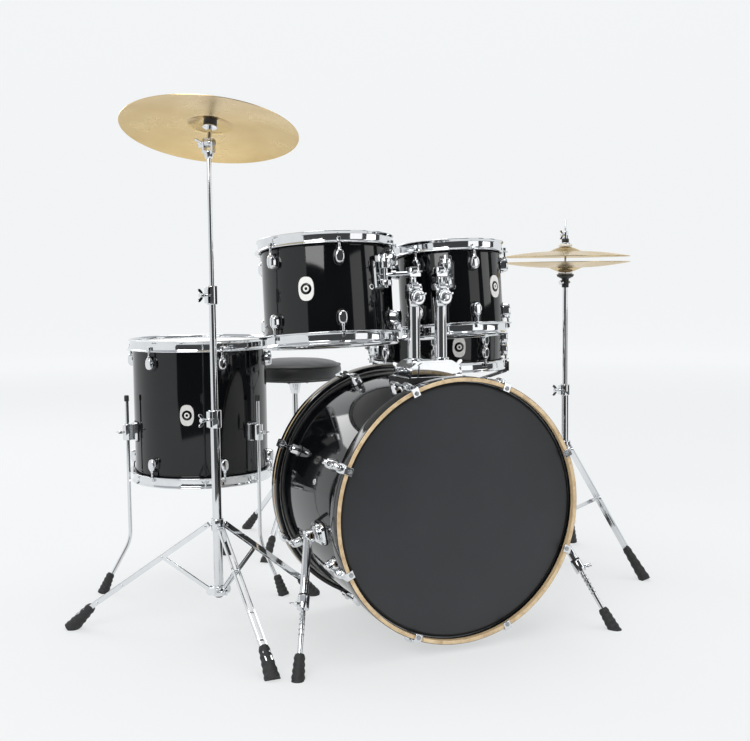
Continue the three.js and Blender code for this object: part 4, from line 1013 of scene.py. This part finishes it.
# ------------------------------------------------------------ kick pedal
def add_kick():
    s = Shape()
    s.prism(soften([(-48, 187), (48, 187), (42, 330), (46, 517), (-46, 517), (-42, 330)], 8), 4,
        10)
    s.prism(plate(40, 38, 200, 505, 6), 0, 4.2, "rubber")
    s.box((0, 200, 9), (68, 42, 10))
    s.box((0, AXLE_Y, 8), (104, 20, 8))
    for side in (-1, 1):
        post = soften([(-12, 6), (12, 6), (7, 60), (7, 196), (9, 209), (-9, 209), (-7, 196), (-7,
            60)], 4)
        s.prism(post, -4.4, 4.4, at=move(side * PEDAL_HALF, AXLE_Y) @ OUTWARD)
        s.disc(10, 0, 6, "steel", along((side * 51, AXLE_Y, AXLE_Z), (side * 60, AXLE_Y, AXLE_Z)),
            36)
        s.box((side * 34, HEEL_Y, 16), (11, 23, 19))
    helix = [(60 + 5.4 * math.cos(k * 0.7), AXLE_Y + 5.4 * math.sin(k * 0.7),
        70 + k * 0.95) for k in range(110)]
    s.tube(helix, 1.1, "steel", sides=7)
    s.rod((60, AXLE_Y, 40), (60, AXLE_Y, 74), 2.4)
    s.rod((60, AXLE_Y, 172), (60, AXLE_Y, 186), 2.4)
    s.box((56, AXLE_Y, 186), (14, 10, 6))
    s.box((56, AXLE_Y, 42), (14, 10, 6))
    s.rod((0, 190, 14), (0, 190, 30), 5)
    s.wing(move(0, 190, 24), size=0.8)
    piece("kick_pedal_base", s, "kit_frame", "kick_pedal_frame", bevel=0.6)

    s = Shape()
    heel, toe = Vector((0, HEEL_Y - 4, 30)), Vector((0, AXLE_Y + 26, 92))
    tilt = math.degrees(math.atan2(62, HEEL_Y - 30 - AXLE_Y))
    board = Matrix.Translation(heel) @ turn(-tilt, "X") @ turn(180)
    long = (toe - heel).length
    s.prism(soften([(-32, 0), (32, 0), (32, long * 0.5), (22, long), (-22, long), (-32,
        long * 0.5)], 9), -2.5, 2.5, at=board)
    for k in range(9):
        for x in (-18, -6, 6, 18):
            if abs(x) > 12 and k > 6:
                continue
            s.disc(2.8, 2.2, 4.4, "chrome", board @ move(x, 20 + k * 16), 14, 0.6)
    s.rod((-26, HEEL_Y, 24), (26, HEEL_Y, 24), 5, "steel", sides=24)
    s.box((0, HEEL_Y - 2, 26), (46, 14, 6))
    start, end = toe + Vector((0, -6, 0)), Vector((0, AXLE_Y + 17, AXLE_Z - 6))
    chain(s, start, end, 10)
    piece("kick_foot_plate", s, "kick_board", "kick_footboard", bevel=0.5)

    at = move(0, AXLE_Y, AXLE_Z) @ turn(-BEATER_LEAN, "X")
    s = Shape()
    s.rod((-PEDAL_HALF + 5.6, 0, 0), (PEDAL_HALF - 5.6, 0, 0), 6.8, sides=28)
    s.rod((-9, 0, 0), (9, 0, 0), 17, sides=44, soft=2)
    s.rod((-5, 0, 0), (5, 0, 0), 19, "steel", sides=20)
    s.box((0, 0, 14), (17, 17, 24))
    s.rod((0, 0, 0), (0, 0, BEATER), 3.9, sides=20)
    s.rod((0, -21.5, BEATER), (0, 21.5, BEATER), 20, "felt_white", sides=48, soft=5)
    s.rod((0, 20, BEATER), (0, 22.2, BEATER), 12, sides=36)
    piece("kick_felt_beater", s, "kick_hammer", "kick_beater", at, bevel=0.5)


# ------------------------------------------------------------ throne
def add_throne():
    base = move(*THRONE_AT)
    low = SEAT_TOP - SEAT_THICK
    s = Shape()
    s.disc(55, low - 6, low - 0.8, "black_part", sides=64, soft=2)
    s.lathe(soften([(0, low - 42), (13, low - 42), (20, low - 10), (24, low - 5), (0, low - 5)], 2,
        loop=False), sides=44)
    for k in range(4):
        s.disc(4.5, low - 9.5, low - 5.5, "steel", turn(45 + 90 * k) @ move(42), 6, 0.6)
    s.rod((0, 0, 130), (0, 0, low - 10), 9, "tubing", sides=36)
    s.ring(9.2, 12.5, 110, 330, "tubing", sides=40, soft=0.6)
    clamp(s, 312, 340, 18, 215, 40)
    s.disc(19, 236, 264, sides=44, soft=3)
    s.disc(15, 108, 132, sides=44, soft=3)
    tripod(s, 250, THRONE_FOOT, THRONE_LEG, 0.42, 120)
    s.cut_floor()
    piece("throne_tripod", s, "kit_frame", "throne_stand", base, bevel=0.4)

    # The cushion starts a little small and is blown up by a pressure simulation.
    s = Shape()
    shrink = 5
    rim, floor, roof = SEAT_R - shrink, low + 2, SEAT_TOP - shrink - 3
    s.lathe(soften([(0, floor), (rim - 3, floor), (rim, floor + 5), (rim, roof - 9), (rim - 9,
        roof), (0, roof + 2)], 6, loop=False), "vinyl", sides=72)
    seat = piece("throne_cushion", s, "seat", "throne_seat", base)
    seat.parent = None
    seat.matrix_world = in_metres(base)
    inflate(seat, low * 0.001)
    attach(seat, "seat")
    points = [v.co for v in seat.data.vertices]
    s = Shape()
    for z in (low + 5, SEAT_TOP - 15):
        reach = max(p.xy.length for p in points if abs(p.z * 1000 - z) < 5) * 1000
        edge = [polar(reach - 0.4, 360 * k / 120, z) for k in range(120)]
        s.tube(edge, 2.0, "vinyl", sides=10, loop=True)
    piece("throne_piping", s, "seat", at=base)


def inflate(obj, floor):
    """Blows the cushion up under cloth pressure, limits its travel and keeps its base flat."""
    scene = bpy.context.scene
    remesh = obj.modifiers.new("even", "REMESH")
    remesh.mode, remesh.voxel_size = "VOXEL", 0.006
    graph = bpy.context.evaluated_depsgraph_get()
    mesh = bpy.data.meshes.new_from_object(obj.evaluated_get(graph))
    obj.modifiers.clear()
    obj.data = mesh
    rest = [v.co.copy() for v in mesh.vertices]
    cloth = obj.modifiers.new("cloth", "CLOTH")
    settings = cloth.settings
    settings.quality = 5
    settings.use_pressure, settings.uniform_pressure_force = True, 4.0
    settings.tension_stiffness = settings.compression_stiffness = 15
    settings.shear_stiffness, settings.bending_stiffness = 15, 8
    settings.effector_weights.gravity = 0
    cloth.point_cache.frame_start, cloth.point_cache.frame_end = 1, 20
    for step in range(1, 21):
        scene.frame_set(step)
    graph = bpy.context.evaluated_depsgraph_get()
    blown = bpy.data.meshes.new_from_object(obj.evaluated_get(graph))
    obj.modifiers.clear()
    scene.frame_set(1)
    cap = 0.010
    roof, rim = (SEAT_TOP + 5) * 0.001, (SEAT_R + 2) * 0.001
    for v, before in zip(blown.vertices, rest):
        step = v.co - before
        if step.length > cap:
            step *= cap / step.length
        p = before + step
        if before.z < floor + 0.006:
            p.z = max(p.z, floor + 0.0005)
        if p.xy.length > rim:
            p.xy *= rim / p.xy.length
        p.z = min(max(p.z, floor + 0.0005), roof)
        v.co = p
    bm = bmesh.new()
    bm.from_mesh(blown)
    for _ in range(14):
        bmesh.ops.smooth_vert(bm, verts=bm.verts, factor=0.5, use_axis_x=True, use_axis_y=True,
            use_axis_z=True)
    bm.to_mesh(blown)
    bm.free()
    obj.data = blown
    if not blown.materials:
        blown.materials.append(PAINTS["vinyl"])
    blown.shade_smooth()
    finer = obj.modifiers.new("finer", "SUBSURF")
    finer.levels = finer.render_levels = 1


add_bass()
add_spurs()
add_mount()
add_rack_tom("large", RACK_LARGE, LARGE_SIDE, -129, -70)
add_rack_tom("small", RACK_SMALL, SMALL_SIDE, -60, -114)
add_floor_tom()
add_snare()
add_crash()
add_hat()
add_kick()
add_throne()


# ------------------------------------------------------------ studio
def stage_piece(name, shape):
    mesh = bpy.data.meshes.new(name)
    bmesh.ops.recalc_face_normals(shape.bm, faces=shape.bm.faces)
    shape.bm.to_mesh(mesh)
    shape.bm.free()
    mesh.transform(Matrix.Scale(0.001, 4))
    for paint in shape.paints:
        mesh.materials.append(PAINTS[paint])
    obj = bpy.data.objects.new(name, mesh)
    bpy.context.scene.collection.objects.link(obj)
    return obj


def add_stage():
    s = Shape()
    profile = [(0, -0.05), (9000, -0.05)]
    for k in range(1, 25):
        a = math.radians(90 * k / 24)
        profile.append((9000 + 5000 * math.sin(a), 5000 - 5000 * math.cos(a)))
    profile += [(14000, 9000), (14100, 9000), (14100, -100), (0, -100)]
    s.lathe(profile, "studio_white", sides=96)
    stage_piece("studio_floor", s)


def add_painted_dark_reflection():
    """A dark sheet on the floor and a wall towards the audience, which only polished surfaces see:
    a painted dark reflection, hidden from the camera, from diffuse light and from shadows.
    """
    s = Shape()
    section = [(DARK_REFLECTION_NEAR, 4), (8800, 4), (8800, 9000), (8830, 9000), (8830, 2), (DARK_REFLECTION_NEAR, 2)]
    steps = 24
    s.loft([[polar(r, DARK_REFLECTION_FROM + (DARK_REFLECTION_TO - DARK_REFLECTION_FROM) * k / steps, z) for r,
        z in section] for k in range(steps + 1)], "painted_reflection_dark")
    painted_sheet = stage_piece("painted_dark_reflection", s)
    # Painted dark reflection: the sheet shows only in glossy reflections.
    painted_sheet.visible_camera = painted_sheet.visible_diffuse = painted_sheet.visible_shadow = False


def area_light(name, location, target, size, power, colour=(1, 1, 1)):
    light = bpy.data.lights.new(name, "AREA")
    light.shape, light.size, light.size_y = "RECTANGLE", size[0], size[1]
    light.energy, light.color = power, colour
    obj = bpy.data.objects.new(name, light)
    obj.location = location
    obj.rotation_mode = "QUATERNION"
    obj.rotation_quaternion = (Vector(target) - Vector(location)).to_track_quat("-Z", "Y")
    bpy.context.scene.collection.objects.link(obj)


# Where the painted dark reflection lies: its near radius and the bearings it spans.
DARK_REFLECTION_NEAR, DARK_REFLECTION_FROM, DARK_REFLECTION_TO = 2300, -146, -8
GLOW, GLOW_FADE, GLOW_FAR, GLOW_NEAR = (0.98, 0.995, 1.0, 1), 8.0, 0.72, 0.58


def studio_paint(name, colour, glow=0.0):
    """A dull paint that can give off a little light of its own."""
    tree, shader = new_paint(name, colour, 0.9)
    shader.inputs["Emission Color"].default_value = GLOW
    shader.inputs["Emission Strength"].default_value = glow
    return tree, shader


# The white floor and wall glow a little more away from the lamps, so they look even.
tree, shader = studio_paint("studio_white", (0.24, 0.243, 0.246))
coords = tree.nodes.new("ShaderNodeTexCoord")
mapping = tree.nodes.new("ShaderNodeMapping")
mapping.inputs["Scale"].default_value = [1 / GLOW_FADE] * 3
fade = tree.nodes.new("ShaderNodeTexGradient")
fade.gradient_type = "SPHERICAL"
tree.links.new(coords.outputs["Object"], mapping.inputs["Vector"])
tree.links.new(mapping.outputs["Vector"], fade.inputs["Vector"])
ramp(tree, fade.outputs["Fac"], [(0.0, GLOW_FAR), (0.78, GLOW_NEAR)],
    [shader.inputs["Emission Strength"]])
# Painted dark reflection: a dim paint for the sheet that only polished surfaces see.
studio_paint("painted_reflection_dark", (0.05, 0.052, 0.055), 0.02)
add_stage()
add_painted_dark_reflection()
area_light("key", (-2.9, -3.4, 3.1), (0, 0, 0.5), (2.6, 2.2), 100)
area_light("fill", (3.6, -2.2, 2.2), (0, 0, 0.6), (1.6, 2.6), 24)
area_light("panel", (1.55, -3.05, 0.95), (0.1, -0.4, 0.7), (1.25, 1.9), 9)
area_light("top", (0.2, 0.3, 4.2), (0, 0, 0.4), (3.4, 3.4), 90)
area_light("back", (-1.8, 3.6, 2.8), (0, 0, 0.8), (2.4, 1.6), 40)
for lamp in bpy.context.scene.objects:
    if lamp.type == "LIGHT":
        lamp.visible_camera = False

world = bpy.data.worlds.new("studio_air")
bpy.context.scene.world = world
world.use_nodes = True
world.node_tree.nodes["Background"].inputs["Color"].default_value = (0.93, 0.96, 1.0, 1)
world.node_tree.nodes["Background"].inputs["Strength"].default_value = 0.5
bpy.context.scene.view_settings.view_transform = "Standard"

# ------------------------------------------------------------ camera
CAMERA_AT = Vector((-1.125, -2.812, 0.825))
YAW, PITCH, ROLL = (math.radians(a) for a in (23.24, 4.8, -0.64))
LENS, SENSOR = 53.52, 36.0
ahead = Vector((math.sin(YAW) * math.cos(PITCH), math.cos(YAW) * math.cos(PITCH), -math.sin(PITCH)))
right = Vector((math.cos(YAW), -math.sin(YAW), 0))
up = right.cross(ahead)
rolled_right = right * math.cos(ROLL) + up * math.sin(ROLL)
rolled_up = up * math.cos(ROLL) - right * math.sin(ROLL)
camera = bpy.data.objects.new("camera", bpy.data.cameras.new("camera"))
camera.data.lens, camera.data.sensor_width = LENS, SENSOR
camera.data.clip_start, camera.data.clip_end = 0.05, 100
pose = Matrix((rolled_right, rolled_up, -ahead)).transposed().to_4x4()
pose.translation = CAMERA_AT
camera.matrix_world = pose
bpy.context.scene.collection.objects.link(camera)
bpy.context.scene.camera = camera
